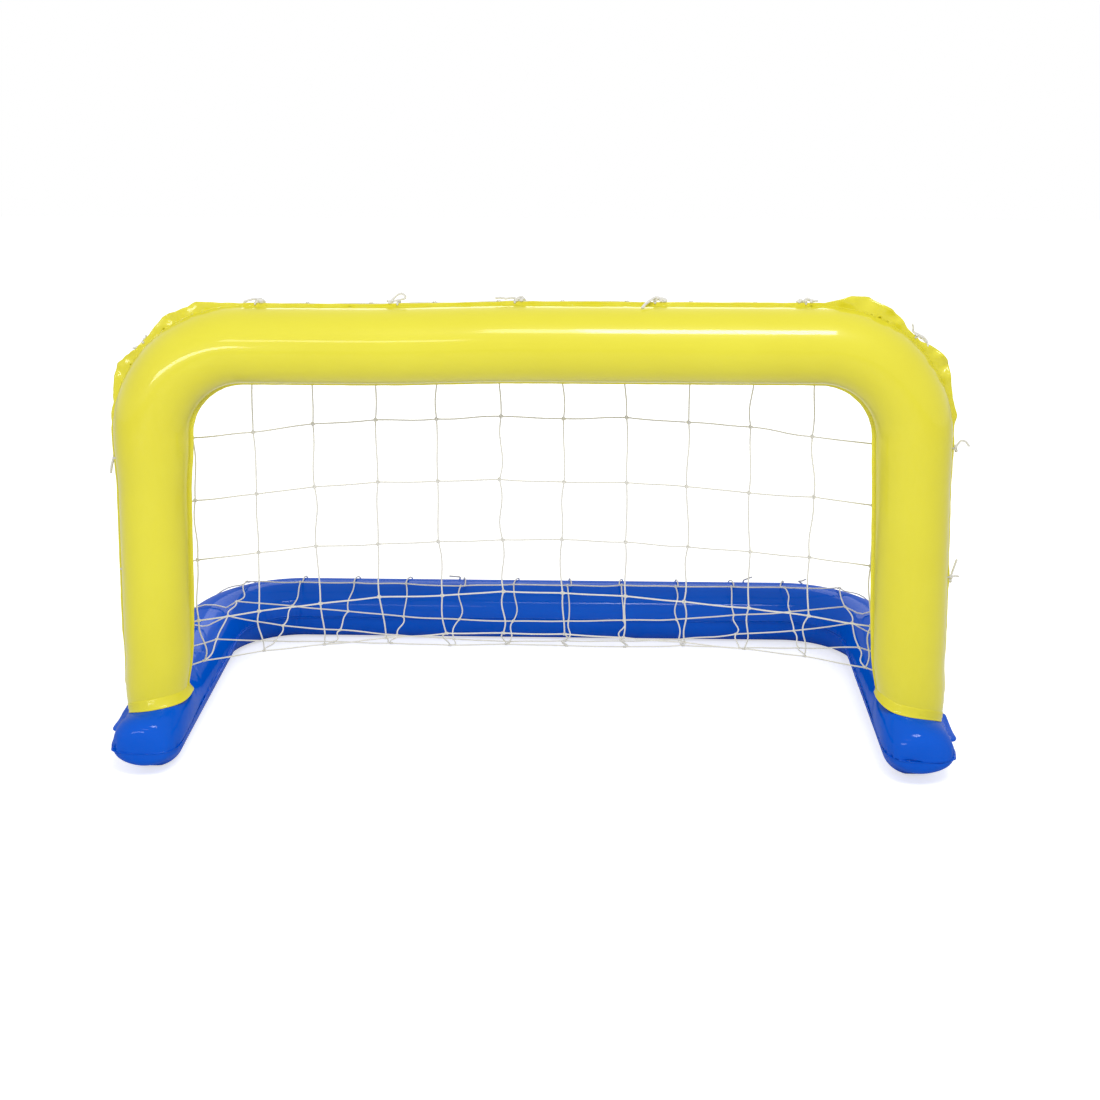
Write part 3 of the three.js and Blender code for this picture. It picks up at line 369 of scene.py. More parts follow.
# The arch
def bend_foot():
    """Where the bend's centre line meets the post's: |x| and z."""
    return BAR_HALF + BEND_R * math.cos(SPLAY), BEND_Z + BEND_R * math.sin(SPLAY)


def post_axis(z):
    """|x| of a post's centre line at a height."""
    x, top = bend_foot()
    return x + (top - z) * math.tan(SPLAY)


def arch_line():
    """Stations from the left foot over the top to the right foot: the centre line's place, the way out
    of the arch, the angle down from the top, the side and the distance along the line."""
    bend_end = bend_foot()[1]
    turn = 90 - SPLAY_DEG
    lowest = SEAM_Z + POST_FOOT_UP
    half = []
    n = int((bend_end - lowest) / STATION_STEP)
    for k in range(n):
        z = lowest + (bend_end - lowest) * k / n
        half.append((post_axis(z), z, turn))
    n = int(BEND_R * math.radians(turn) / (STATION_STEP * ARCH_BEND_SHARE))
    for k in range(n):
        a = turn * (1 - k / n)
        x = BAR_HALF + BEND_R * math.sin(math.radians(a))
        half.append((x, BEND_Z + BEND_R * math.cos(math.radians(a)), a))
    n = int(BAR_HALF / STATION_STEP)
    for k in range(n + 1):
        half.append((BAR_HALF * (1 - k / n), BAR_Z, 0.0))
    half = np.array(half)
    left = half * [-1, 1, 1]
    line = np.concatenate([left, half[::-1][1:]])
    side = np.sign(line[:, 0])
    a = np.radians(line[:, 2])
    centre = np.stack([line[:, 0], np.zeros(len(line)), line[:, 1]], 1)
    out = np.stack([side * np.sin(a), np.zeros(len(line)), np.cos(a)], 1)
    run = np.concatenate([[0], np.cumsum(np.linalg.norm(np.diff(centre, axis=0), axis=1))])
    return centre, out, line[:, 2], side, run


# The goal isn't blown up quite evenly: the left post is the slimmer one, both stand a little outwards at
# the foot, and the left half of the crossbar hangs lower.
POST_R = {-1: 55.2, 1: 58.6}
FOOT_TAPER = 7  # the posts narrow by this at the hem
FOOT_TAPER_LENGTH = 150
FOOT_SHIFT = 5.3
BAR_SAG = 5.0


def post_radius(z, way):
    """The tube's radius at a height. way is the side, below 0 on the left."""
    share = np.clip(1 - (z - HEM_Z) / FOOT_TAPER_LENGTH, 0, 1)
    full = TUBE_R - (TUBE_R - POST_R[1 if way > 0 else -1]) * smooth(-z, -560, -470)
    return full - FOOT_TAPER * share ** 2


def post_shift(z):
    """How far a post's foot has moved outwards at a height."""
    return FOOT_SHIFT * smooth(-z, -195, -112)


def post_ways(s):
    """The way out of the arch at a post, and the way down along it."""
    sin, cos = math.sin(SPLAY), math.cos(SPLAY)
    return np.array([s * cos, 0, sin]), np.array([s * sin, 0, -cos])


def sag(x, z):
    """How far the arch's left half hangs down."""
    return BAR_SAG * smooth(-x, 0, 260) * smooth(z, 470, 680)


centre, out, angle, side, run = arch_line()
radius = np.where(side < 0, post_radius(centre[:, 2], -1), post_radius(centre[:, 2], 1))
onbend = smooth(angle, 2, 12) * (1 - smooth(angle, 80, 87))
# The ties' places on the crossbar, on the posts (side and height) and on the bends (side and degrees down),
# and the margin's width at a tie's hole
TIE_X = (-422, -203, -23, 191, 420)
TIE_POST = ((-1, 521), (-1, 333), (1, 548), (1, 333))
TIE_BEND = ((-1, 45), (1, 41))
BAR_TIE_MARGIN = 4.6
POST_TIE_MARGIN = 3.4
THIN_MARGIN = 0.3  # what is left of the margins at the posts' feet
# The outer margin's width on each bend, in degrees down from the top: it stands up in two crumpled flaps
# with the corner's tie between them.
FLAPS = {
    -1: [(0, 4), (7, 6), (12, 11), (17, 14.5), (21, 12), (27, 14), (32, 15), (38, 9), (44, 5.6), (49, 7),
         (54, 13), (59, 19), (64, 14), (70, 8), (75, 3.5), (80, 5.5), (84, 3.5), (88, 5.5)],
    1: [(0, 4.5), (5, 10), (10, 18), (15, 22), (20, 21), (26, 19.5), (31, 15), (36, 8), (40, 5.6), (44, 6.5),
        (48, 13), (52, 17.5), (57, 21), (62, 15), (67, 10), (72, 5), (79, 8), (83, 3), (88, 2)],
}
flaps = {s: np.interp(angle, *zip(*FLAPS[s])) for s in (-1, 1)}
margin_out = np.where(side < 0, flaps[-1], flaps[1])
height = centre[:, 2].copy()
centre[:, 0] += side * post_shift(height)
centre[:, 2] -= sag(centre[:, 0], height)
ELSEWHERE = 99  # added to the distance from a tie where the tube is another one
for x in TIE_X:
    off = np.abs(centre[:, 0] - x) + (height < BAR_Z - 1) * ELSEWHERE
    margin_out = np.maximum(margin_out, BAR_TIE_MARGIN * (1 - smooth(off, 12, 45)))
for s_, z in TIE_POST:
    off = np.abs(height - z) + (side != s_) * ELSEWHERE
    margin_out = np.maximum(margin_out, POST_TIE_MARGIN * (1 - smooth(off, 8, 40)))
at_foot = smooth(height, 114, 136)
margin_out = margin_out * (0.5 + 0.5 * smooth(height, 130, 260)) * at_foot
margin_out = margin_out + THIN_MARGIN + 0.3 * wave(run, 34, 1) * at_foot
bend_in = smooth(angle, 0, 60)
margin_in = np.where(side < 0, 4.8, 4.2) * bend_in + 3.7 * (1 - bend_in)
margin_in = margin_in * (0.3 + 0.7 * smooth(height, 120, 300)) * at_foot
margin_in = margin_in + THIN_MARGIN + 0.25 * wave(run, 34, 3) * at_foot


def crumple(period, seed):
    """Sharp folds across the margin: straight between creases, like paper."""
    marks = [0.0]
    pick = np.random.default_rng(seed)
    while marks[-1] < run[-1]:
        marks.append(marks[-1] + period * pick.uniform(0.6, 1.4))
    return np.interp(run, marks, pick.uniform(-1, 1, len(marks)))


margin_out += onbend * (0.6 + 0.9 * crumple(6, 2))
flap = np.clip((margin_out - 6) / 12, 0, 1)
fold = flap * (6.0 * crumple(13, 3) + 3.2 * crumple(6, 4)) + 0.5 * wave(run, 60, 6)
fold_mid = flap * (2.4 * crumple(9, 8))


# Where the posts stand on the base: the height of each hem's free edge by the angle round the post, from 0
# outside to 180 inside
HEM_EDGE = {
    -1: [(0, 80), (16, 84), (40, 94.5), (65, 103.4), (83, 108), (99, 111.5), (114, 113), (140, 112.8),
         (157, 114), (171, 118), (180, 119)],
    1: [(0, 84), (20, 88), (40, 98), (70, 110), (96, 115), (112, 116.2), (129, 117.4), (145, 121.6),
        (164, 127.5), (180, 129)],
}


def hem_edge(a, way):
    """Height of a hem's edge at angle a round the post, eased over the table's corners."""
    deg = np.degrees(np.abs(a))
    total = 0
    shifts = (-14, -7, 0, 7, 14)
    for shift in shifts:
        near = np.abs(deg + shift)
        near = np.where(near > 180, 360 - near, near)
        total += np.interp(near, *zip(*HEM_EDGE[way]))
    return total / len(shifts)


def hem_reach(a, way):
    """Distance of a hem's edge from the post's middle."""
    inside = 4.3 * lobe(np.abs(a), math.pi, 0.6)
    outside = lobe(a, 0, 0.8) * (5.2 if way > 0 else 0.6)
    return 49.4 + 9.4 * np.abs(np.sin(a)) ** 1.4 + inside + outside


def arch_panel(name, way, replaced):
    """Half of the arch's tube with its weld margins. way is -1 for the front and 1 for the back."""
    t = np.linspace(math.pi, 0, 44)
    rows = []
    inner = np.linspace(0, 1, 4)
    outer = np.linspace(0, 1, 7)

    def at(a, b):
        return centre + out * a[:, None] + np.array([0, way, 0]) * b[:, None]

    one = np.ones(len(centre))
    for lift_, steps in ((HALF_GAP, inner), (HALF_GAP + SKIN, inner[::-1])):
        for k in steps:
            rows.append(at(-(radius + margin_in * k), one * lift_))
    pucker = 0.35 + 0.7 * onbend
    for a in t:
        near_out = np.exp(-(radius * a) / 9)
        near_in = np.exp(-(radius * (math.pi - a)) / 7)
        r = radius - pucker * near_out * (0.6 + wave(run, 10, 7 + way))
        r -= 0.3 * near_in * np.abs(wave(run, 14, 12 + way))
        rows.append(at(r * math.cos(a), np.maximum(r * math.sin(a), HALF_GAP + SKIN)))
    for lift_, steps in ((HALF_GAP + SKIN, outer), (HALF_GAP, outer[::-1])):
        for k in steps:
            bend = way * (fold * k ** 1.3 + fold_mid * math.sin(math.pi * k))
            rows.append(at(radius + margin_out * k, one * lift_ + bend))
    grid = np.stack(rows, 1)
    for s_ in (-1, 1):
        # each post ends inside its hem
        low = (grid[..., 2] < 160) & (grid[..., 0] * s_ > 0)
        a = np.arctan2(grid[..., 1], s_ * grid[..., 0] - post_axis(DISC_Z))
        grid[..., 2] = np.where(low, np.maximum(grid[..., 2], hem_edge(a, s_) + 7), grid[..., 2])
    points = grid.reshape(-1, 3)
    faces = opened(grid_faces(*grid.shape[:2], flip=way > 0), points)
    obj = make(name, points, faces, YELLOW)
    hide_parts(replaced)


arch_panel("arch_front", -1, "arch_front_panel")
arch_panel("arch_rear", 1, "arch_rear_panel")


# The base
def base_line():
    """Stations from the left nose round the back to the right nose: the place, the way out of the U, the
    shares of the tube's radius and of the margin's reach, and how far the margin points ahead."""
    half = []
    start = NOSE_TIP + NOSE
    n = 22
    for k in range(n, 0, -1):
        phi = math.pi / 2 * k / n
        round_ = math.cos(phi)
        y = start - NOSE * math.sqrt(1 - round_ ** 4)
        if k == n:
            face = (0.0, 1.0)
        else:
            slope = BASE_R * math.sqrt(1 - round_ ** 4) / (2 * round_)
            face = unit(np.array([NOSE * round_ ** 2, slope]))
        half.append((ARM_X, y, 1, 0, round_ if k < n else 0.0, face[0], face[1]))
    n = int((BASE_BEND_Y - start) / STATION_STEP)
    for k in range(n):
        half.append((ARM_X, start + (BASE_BEND_Y - start) * k / n, 1, 0, 1, 1, 0))
    n = int(BASE_BEND_R * math.pi / 2 / (STATION_STEP * BASE_BEND_SHARE))
    for k in range(n):
        a = math.pi / 2 * k / n
        x, y = BASE_BEND_X + BASE_BEND_R * math.cos(a), BASE_BEND_Y + BASE_BEND_R * math.sin(a)
        half.append((x, y, math.cos(a), math.sin(a), 1, 1, 0))
    n = int(BASE_BEND_X / STATION_STEP)
    for k in range(n + 1):
        half.append((BASE_BEND_X * (1 - k / n), REAR_Y, 0, 1, 1, 1, 0))
    half = np.array(half, float)
    left = half * [-1, 1, -1, 1, 1, 1, 1]
    return np.concatenate([left, half[::-1][1:]])


base = base_line()
b_y = base[:, 1]
b_centre = np.stack([base[:, 0], b_y, np.full(len(base), SEAM_Z)], 1)
b_out = np.stack([base[:, 2], base[:, 3], np.zeros(len(base))], 1)
b_round, b_rim, b_lean = base[:, 4], base[:, 5], base[:, 6]
b_run = np.concatenate([[0], np.cumsum(np.linalg.norm(np.diff(b_centre, axis=0), axis=1))])
b_side = np.sign(base[:, 0])


def shoulder(foot, deg):
    """The swelling under a post, at an angle round the tube as below."""
    return SHOULDER * foot * lobe(180 - deg, SHOULDER_AT, SHOULDER_SPREAD)


def base_point(t, dent):
    """The skin's points at angle t round the tube: 0 is outside, a quarter turn is up."""
    foot = lobe(b_y, 0, FOOT_LENGTH)
    above = max(0.0, math.sin(t))
    swell = shoulder(foot, math.degrees(t)) if 0 < t < math.pi else 0 * foot
    r = (BASE_R + swell) * b_round - dent * b_rim
    shift = TOP_SHIFT * foot * above * b_round
    p = b_centre + b_out * (r * math.cos(t) - shift)[:, None]
    p[:, 1] += dent * b_lean
    p[:, 2] += r * math.sin(t)
    return p


nose = smooth(-b_y, -40, 60)
b_bend = smooth(b_y, 370, 400) * smooth(np.abs(base[:, 0]), 440, 500)
front = smooth(b_lean, 0.0, 0.75)
corner = lobe(b_y, -84, 6)
base_out_w = 2.2 + (5.6 + 0.5 * wave(b_run, 30, 21)) * smooth(b_y, -20, 30)
base_out_w = base_out_w + 3.2 * corner - 1.5 * front
base_in_w = (2.5 + 1.5 * smooth(b_y, 60, 200) + 0.4 * wave(b_run, 30, 23)) * (1 - 0.6 * front)


def nosed(p):
    """The noses' undersides rise from the floor, the left one's seam runs lower round it, and they are a
    little fuller on the outer side."""
    x, y, z = p.T  # changed in place
    left = x < 0
    rise = np.where(left, 0.31 * smooth(-y, 36, 78), 0.39 * smooth(-y, 30, 76))
    z[:] = np.where(z < SEAM_Z, SEAM_Z - (SEAM_Z - z) * (1 - rise), z)
    by_seam = lobe(z, SEAM_Z, 24) * smooth(z, 4, 30)
    z -= np.where(left, 5.0, 1.0) * smooth(-y, -10, 75) * by_seam
    outer = smooth(np.abs(x) - ARM_X, 15, 50)
    x += b_side * np.where(left, 1.0, 3.6) * outer * lobe(y, -82, 22)
    return p


# Creases across the arms' inner side behind the posts: side, place along the arm, slant, angle round the
# arm, half length in radians and depth
CREASES = [(-1, 92, 34, 2.2, 0.5, 1.8), (-1, 150, -46, 2.0, 0.6, 1.5), (-1, 72, -26, 1.8, 0.4, 1.3),
           (-1, 205, 30, 2.3, 0.5, 1.2), (1, 108, 36, 2.2, 0.5, 1.8), (1, 66, -24, 2.3, 0.45, 1.4),
           (1, 172, 34, 1.9, 0.5, 1.4), (1, 230, -30, 2.3, 0.5, 1.2)]
CREASE_WIDTH = 4


def creased(t):
    dent = 0 * b_run
    for way, y0, slant, middle, half, depth in CREASES:
        off = b_y - y0 - slant * (t - middle)
        here = (b_side == way) & (b_y < BASE_BEND_Y)
        dent += here * depth * np.exp(-((off / CREASE_WIDTH) ** 2) - ((t - middle) / half) ** 4)
    return dent


def base_height(x, y):
    """Height of the base's top surface near an arm, at |x| and y."""
    x, y = np.abs(np.asarray(x, float)), np.asarray(y, float)
    foot = lobe(y, 0, FOOT_LENGTH)
    round_ = np.maximum(1 - (np.clip(NOSE_TIP + NOSE - y, 0, NOSE) / NOSE) ** 2, 0) ** 0.25
    best = np.full(np.broadcast(x, foot).shape, -1e3)

    def place(deg):
        t = math.radians(deg)
        r = (BASE_R + shoulder(foot, deg)) * round_
        return ARM_X + r * math.cos(t) - TOP_SHIFT * foot * math.sin(t) * round_, SEAM_Z + r * math.sin(t)

    for deg in np.linspace(3, 175, 87):
        (px, pz), (qx, qz) = place(deg), place(deg + 2)
        inside = (x <= px) & (x > qx)
        share = (px - x) / np.maximum(px - qx, 1e-6)
        best = np.where(inside, pz + (qz - pz) * share, best)
    return best


def press_table(way):
    """How far the base's top moves at each angle round a post so that it meets the hem's edge."""
    a = np.radians(np.arange(0, 181, 4))
    x = post_axis(HEM_MID_Z) + hem_reach(a, way) * np.cos(a)
    here = base_height(x, -hem_reach(a, way) * np.sin(a))
    move = hem_edge(a, way) - 0.35 - here
    steep = here < -100  # beside the base
    if steep.any():
        move[steep] = move[~steep][-1]
    return a, np.clip(move, -9, 10)


PRESS = {way: press_table(way) for way in (-1, 1)}
PRESS_WIDTH = 20  # how far from the hem's edge the base gives way


def pressed(p):
    """The base's top gives way under the post, and folds up against the hem on the inner side."""
    x, y, z = p.T  # changed in place
    for way in (-1, 1):
        off = way * x - post_axis(HEM_MID_Z)
        a, far = np.abs(np.arctan2(y, off)), np.hypot(off, y)
        move = np.interp(a, *PRESS[way]) * lobe(far, hem_reach(a, way), PRESS_WIDTH)
        z += move * smooth(z, SEAM_Z + 4, SEAM_Z + 32)
    return p


def base_panel(name, way, replaced):
    """Half of the base's tube with its weld margins. way is 1 for the top and -1 for the bottom."""
    t = np.linspace(math.pi, 0, 40)

    def margin(side_, share, lift):
        width = base_out_w if side_ > 0 else base_in_w
        reach = BASE_R * b_round + width * share * b_rim
        p = b_centre + b_out * (side_ * reach)[:, None]
        p[:, 1] -= width * share * b_lean
        p[:, 2] += way * lift + 0.4 * wave(b_run, 40, 25) * share
        return nosed(p)

    rows = [margin(-1, k, HALF_GAP) for k in (0, 0.5, 1)]
    rows += [margin(-1, k, HALF_GAP + SKIN) for k in (1, 0.5, 0)]
    for a in t:
        outer = np.exp(-BASE_R * a / 8)
        inner = np.exp(-BASE_R * (math.pi - a) / 8)
        tight = np.maximum(wave(b_run, 11, 26 + way), 0) ** 1.5
        tight_in = np.maximum(wave(b_run, 12, 29 + way), 0) ** 1.5
        dent = outer * (0.2 + 6.5 * nose) * tight + inner * (0.25 + 5.0 * nose + 2.4 * b_bend) * tight_in
        if way < 0:
            p = base_point(-a, dent)
            p[:, 2] = np.clip(p[:, 2], 0, SEAM_Z - HALF_GAP)
            rows.append(nosed(p))
        else:
            p = base_point(a, dent + creased(a))
            p[:, 2] = np.maximum(p[:, 2], SEAM_Z + HALF_GAP)
            rows.append(pressed(nosed(p)))
    rows += [margin(1, k, HALF_GAP + SKIN) for k in (0, 0.5, 1)]
    rows += [margin(1, k, HALF_GAP) for k in (1, 0.5, 0)]
    grid = np.stack(rows, 1)
    points = grid.reshape(-1, 3)
    faces = opened(grid_faces(*grid.shape[:2], flip=way < 0), points)
    obj = make(name, points, faces, BLUE)
    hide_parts(replaced)


base_panel("base_top", 1, "base_top_panel")
base_panel("base_bottom", -1, "base_bottom_panel")


TAB_FRONT = -18.0
TAB_BACK = 96.0
TAB_CORNER_R = 13.0
TAB_THICKNESS = 1.2


def side_tab(name, way, replaced):
    """A thin flap welded under the base's margin, a little curled."""
    inside, outside = ARM_X + BASE_R + 0.5, ARM_X + BASE_R + 15
    y = TAB_FRONT + (TAB_BACK - TAB_FRONT) * np.linspace(0, 1, 40)
    cut = np.minimum(y - TAB_FRONT, TAB_BACK - y)
    rounded = np.sqrt(np.maximum(TAB_CORNER_R ** 2 - (TAB_CORNER_R - cut) ** 2, 0))
    reach = outside - np.where(cut < TAB_CORNER_R, TAB_CORNER_R - rounded, 0)
    z0 = SEAM_Z - HALF_GAP - SKIN - 0.3
    top = []
    for k in np.linspace(0, 1, 9):
        x = inside + (reach - inside) * k
        curl = k ** 2 * (-2.2 + 1.3 * wave(y, 46, 40 + way)) + 0.25 * wave(y, 9, 42) * k
        top.append(np.stack([way * x, y, z0 + np.minimum(curl, 0.15)], 1))
    top = np.stack(top, 1)
    low = top - [0, 0, TAB_THICKNESS]
    grid = np.concatenate([top, low[:, ::-1]], 1)
    n, m = grid.shape[:2]
    faces = grid_faces(n, m, True, flip=way > 0)
    faces.append(tuple(range(m))[::way])
    faces.append(tuple(range((n - 1) * m, n * m))[::-way])
    obj = make(name, grid.reshape(-1, 3), faces, BLUE)
    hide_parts(replaced)


side_tab("left_tab", -1, "left_side_tab")
side_tab("right_tab", 1, "right_side_tab")


def hem(name, way, replaced):
    """The turned-out lower edge of a post: a short skirt from the crease under the post's swell down to
    a free edge that lies on the base."""
    n = 120
    a = np.linspace(-math.pi, math.pi, n, endpoint=False)
    ripple = wave2(1.6 * np.cos(a), 1.6 * np.sin(a), 50 + way)
    fine = wave2(6 * np.cos(a), 6 * np.sin(a), 52 + way)
    edge_z = hem_edge(a, way) + 0.25 * ripple
    tall = 15.5 + 0.7 * ripple - 3 * lobe(np.abs(a), math.pi, 0.4)
    rings = []
    for k in (0, 0.03, 0.1, 0.2, 0.35, 0.5, 0.65, 0.8, 0.9, 0.95, 1):
        crease_r = post_radius(edge_z + tall, way) + 0.8
        r = crease_r + (hem_reach(a, way) - crease_r) * (0.5 * k + 0.5 * k ** 2)
        r += 0.4 * fine * math.sin(math.pi * k)
        r = r + 0.7 * smooth(k, 0.86, 0.95) - 0.5 * lobe(k, 0, 0.04)
        z = edge_z + tall * (1 - k)
        x = post_axis(z) + post_shift(z) * (1 - k) + r * np.cos(a)
        rings.append(np.stack([way * x, r * np.sin(a), z], 1))
    outer_face = np.stack(rings, 0)
    inner_face = outer_face[::-1] - np.stack([way * np.cos(a), np.sin(a), 0.2 + 0 * a], 1)[None] * 0.65
    grid = np.concatenate([outer_face, inner_face], 0)
    faces = grid_faces(len(grid), n, True, flip=way < 0)
    last = (len(grid) - 1) * n
    for j in range(n):
        k = (j + 1) % n
        faces.append((last + j, last + k, k, j)[::way])
    obj = make(name, grid.reshape(-1, 3), faces, HEM)
    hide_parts(replaced)


hem("left_hem", -1, "left_post_hem")
hem("right_hem", 1, "right_post_hem")


DISC_R = 47.0
DISC_MIDDLE_Z = 113


def end_disc(name, way, replaced):
    """The sheet that closes a post's air chamber, lying on the base inside the hem."""
    n = 72
    m = 12
    a = np.linspace(-math.pi, math.pi, n, endpoint=False)
    rings = []
    for k in np.linspace(0.02, 1, m):
        r = DISC_R * k
        x, y = post_axis(DISC_Z) + r * np.cos(a), r * np.sin(a)
        move = np.interp(np.abs(a), *PRESS[way]) * lobe(r, hem_reach(a, way), PRESS_WIDTH)
        lying = base_height(x, y) + move + 1.2
        welded = hem_edge(a, way) + 3
        z = np.maximum(lying, DISC_MIDDLE_Z + (welded - DISC_MIDDLE_Z) * k ** 3)
        rings.append(np.stack([way * x, y, z], 1))
    top = np.stack(rings, 0)
    grid = np.concatenate([top, (top - [0, 0, 0.7])[::-1]], 0)
    faces = grid_faces(2 * m, n, True, flip=way > 0)
    faces.append(tuple(range(n))[::-way])
    faces.append(tuple(range((2 * m - 1) * n, 2 * m * n))[::way])
    obj = make(name, grid.reshape(-1, 3), faces, HEM)
    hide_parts(replaced)


end_disc("left_disc", -1, "left_post_end_disc")
end_disc("right_disc", 1, "right_post_end_disc")


# The net
COLUMNS = 14
ROWS = 12
MOUTH_MESH = 99.0
REAR_MESH = 106.0
LYING = 2 * CORD_R + 1.2  # a cord's centre line lies this far off the tube that it crosses
TIED = LYING + 2 * TIE_R  # and the border's this far, with the ties under it
# How far the net reaches out of the centre line on the posts and on the base, and its border on the base
POST_REACH = 55
BASE_REACH = 57
BORDER_REACH = 61.5
# The net's way from the crossbar to the rear tube, in shares of REAR_Y and BAR_Z: in the middle, and at
# the last column before the border
MIDDLE = [(0.11, 0.801), (0.095, 0.672), (0.1, 0.532), (0.133, 0.392), (0.212, 0.262), (0.367, 0.172),
          (0.541, 0.123), (0.722, 0.116), (0.896, 0.165)]
SIDE = [(0.11, 0.896), (0.11, 0.751), (0.11, 0.469), (0.112, 0.22), (0.2, 0.18), (0.475, 0.19),
        (0.662, 0.176), (0.846, 0.169)]
SIDE_AT = 0.846  # that column's place, as a share of half the net's width
BACK = np.array([0.0, 1.0, 0.0])
UP = np.array([0.0, 0.0, 1.0])


def route(shares, first, last):
    middle = [(0, y * REAR_Y, z * BAR_Z) for y, z in shares]
    return spline(first + middle + last, ROWS)


def round_tube(y, z, r, degrees):
    """A place on a tube's back, in degrees up from the way backwards."""
    a = math.radians(degrees)
    return 0, y + r * math.cos(a), z + r * math.sin(a)


bar_wrap = [round_tube(0, BAR_Z, TUBE_R + TIED, d) for d in (65, 32.5, 0)]
rear_wrap = [round_tube(REAR_Y, SEAM_Z, BASE_R + TIED, d) for d in (90, 31)]
middle_route = route(MIDDLE, bar_wrap, rear_wrap)
side_route = route(SIDE, [(0, bar_wrap[0][1], BAR_Z + TUBE_R / 2)], rear_wrap)


def on_arch(p):
    """The nearest place on the arch's centre line, the way out of it there and the tube's radius."""
    s = 1.0 if p[0] >= 0 else -1.0
    x = abs(p[0])
    drop = UP * float(sag(p[0], p[2]))
    if x <= BAR_HALF and p[2] > BEND_Z:
        return np.array([p[0], 0, BAR_Z]) - drop, UP, TUBE_R
    dx, dz = x - BAR_HALF, p[2] - BEND_Z
    if dz > dx * math.tan(SPLAY):
        o = unit(np.array([s * dx, 0, dz]))
        return np.array([s * BAR_HALF, 0, BEND_Z]) + o * BEND_R - drop, o, TUBE_R
    start = np.array([s * (post_axis(p[2]) + float(post_shift(p[2]))), 0, p[2]])
    o, down = post_ways(s)
    off = np.array([p[0], 0, p[2]]) - start
    foot = start + down * np.dot(off, down)
    return foot, o, float(post_radius(foot[2], s))


def on_base(p):
    """The same for the base's centre line."""
    s = 1.0 if p[0] >= 0 else -1.0
    x = abs(p[0])
    if p[1] <= BASE_BEND_Y:
        return np.array([s * ARM_X, p[1], SEAM_Z]), np.array([s, 0, 0]), BASE_R
    if x <= BASE_BEND_X:
        return np.array([p[0], REAR_Y, SEAM_Z]), BACK, BASE_R
    o = unit(np.array([s * (x - BASE_BEND_X), p[1] - BASE_BEND_Y, 0]))
    return np.array([s * BASE_BEND_X, BASE_BEND_Y, SEAM_Z]) + o * BASE_BEND_R, o, BASE_R


def lift(p, near, clear):
    """The point, or the place next to it that is clear of the tube near it."""
    off = p - near[0]
    d = np.linalg.norm(off)
    return p + off / d * (near[2] + clear - d) if d < near[2] + clear else p


def settle(p, clear):
    """The point, lifted clear of both tubes."""
    p = lift(p, on_arch(p), clear)
    return lift(p, on_base(p), clear)


def rest(p, near, back, clear):
    """The place on the tube's surface that lies backwards, or above, from the point."""
    o = np.dot(p - near[0], near[1])
    return near[0] + near[1] * o + back * math.sqrt(max((near[2] + clear) ** 2 - o ** 2, 1))


def net_knot(c, r):
    """The place of the knot in a column and a row."""
    f = 2 * c / (COLUMNS - 1) - 1
    share = r / (ROWS - 1)
    mesh = MOUTH_MESH + (REAR_MESH - MOUTH_MESH) * share
    p = middle_route[r] + (side_route[r] - middle_route[r]) * (f / SIDE_AT) ** 2
    p[0] = f * (COLUMNS - 1) * mesh / 2
    border = c in (0, COLUMNS - 1)
    on_post = p[1] < BASE_BEND_R / 2
    near = on_arch(p) if on_post else on_base(p)
    reach = np.dot(p - near[0], near[1])
    if border and not on_post:
        # the net's side edges lie on the base's outer margin
        p = p + near[1] * (BORDER_REACH - reach) * smooth(p[1], 120, 330)
    else:
        p = p - near[1] * max(reach - (POST_REACH if on_post else BASE_REACH), 0)
    if border:
        p = rest(p, on_arch(p) if on_post else on_base(p), BACK if on_post else UP, TIED)
    return settle(p, TIED)


WOBBLE = [3.0, 3.0, 2.5]  # how far a knot strays
rng = np.random.default_rng(7)
knots = np.array([[net_knot(c, r) for r in range(ROWS)] for c in range(COLUMNS)])
wobble = rng.uniform(-1, 1, knots.shape) * WOBBLE
for c in range(1, COLUMNS - 1):
    for r in range(1, ROWS - 1):
        knots[c, r] = settle(knots[c, r] + wobble[c, r], LYING)


# How far a cord leans to one side, bends both ways and sags, as shares of its length
LEAN = 0.06
KINK = 0.055
HANG = 0.006


def strand(a, b, clear, seed):
    """A cord from knot to knot: it sags a little, leans to one side and lies on what it crosses."""
    n = 11
    t = np.linspace(0, 1, n)
    length = np.linalg.norm(b - a)
    bow = np.sin(math.pi * t) * length
    side = unit(np.cross(b - a, [0.2, 0.5, 0.84]))
    loose = 1 + 0.9 * float(smooth(-min(a[2], b[2]), -200, -120))
    lean = LEAN * loose * noise.noise(Vector((seed * 3.7, 1.3, 0.2)))
    kink = KINK * loose * noise.noise(Vector((seed * 2.9, 4.1, 0.7))) * np.sin(2 * math.pi * t) * length
    pts = a + (b - a) * t[:, None] + bow[:, None] * (side * lean - UP * HANG) + kink[:, None] * side
    return np.array([settle(p, clear) if 0 < k < n - 1 else p for k, p in enumerate(pts)])


net = Build()
seed = 0
for c in range(COLUMNS):
    for r in range(ROWS):
        for dc, dr in ((1, 0), (0, 1)):
            if c + dc < COLUMNS and r + dr < ROWS:
                seed += 1
                rim = (dc and r in (0, ROWS - 1)) or (dr and c in (0, COLUMNS - 1))
                cord = strand(knots[c, r], knots[c + dc, r + dr], TIED if rim else LYING, seed)
                net.tube(cord, CORD_R, 7)
        along = knots[min(c + 1, COLUMNS - 1), r] - knots[max(c - 1, 0), r]
        down = knots[c, min(r + 1, ROWS - 1)] - knots[c, max(r - 1, 0)]
        net.knot(knots[c, r], along + down * 0.6, np.cross(along, down), 3.1, 1.15, steps=24, sides=5)
net_obj = make("net_cords", net.verts, net.faces, CORD)
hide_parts("net")


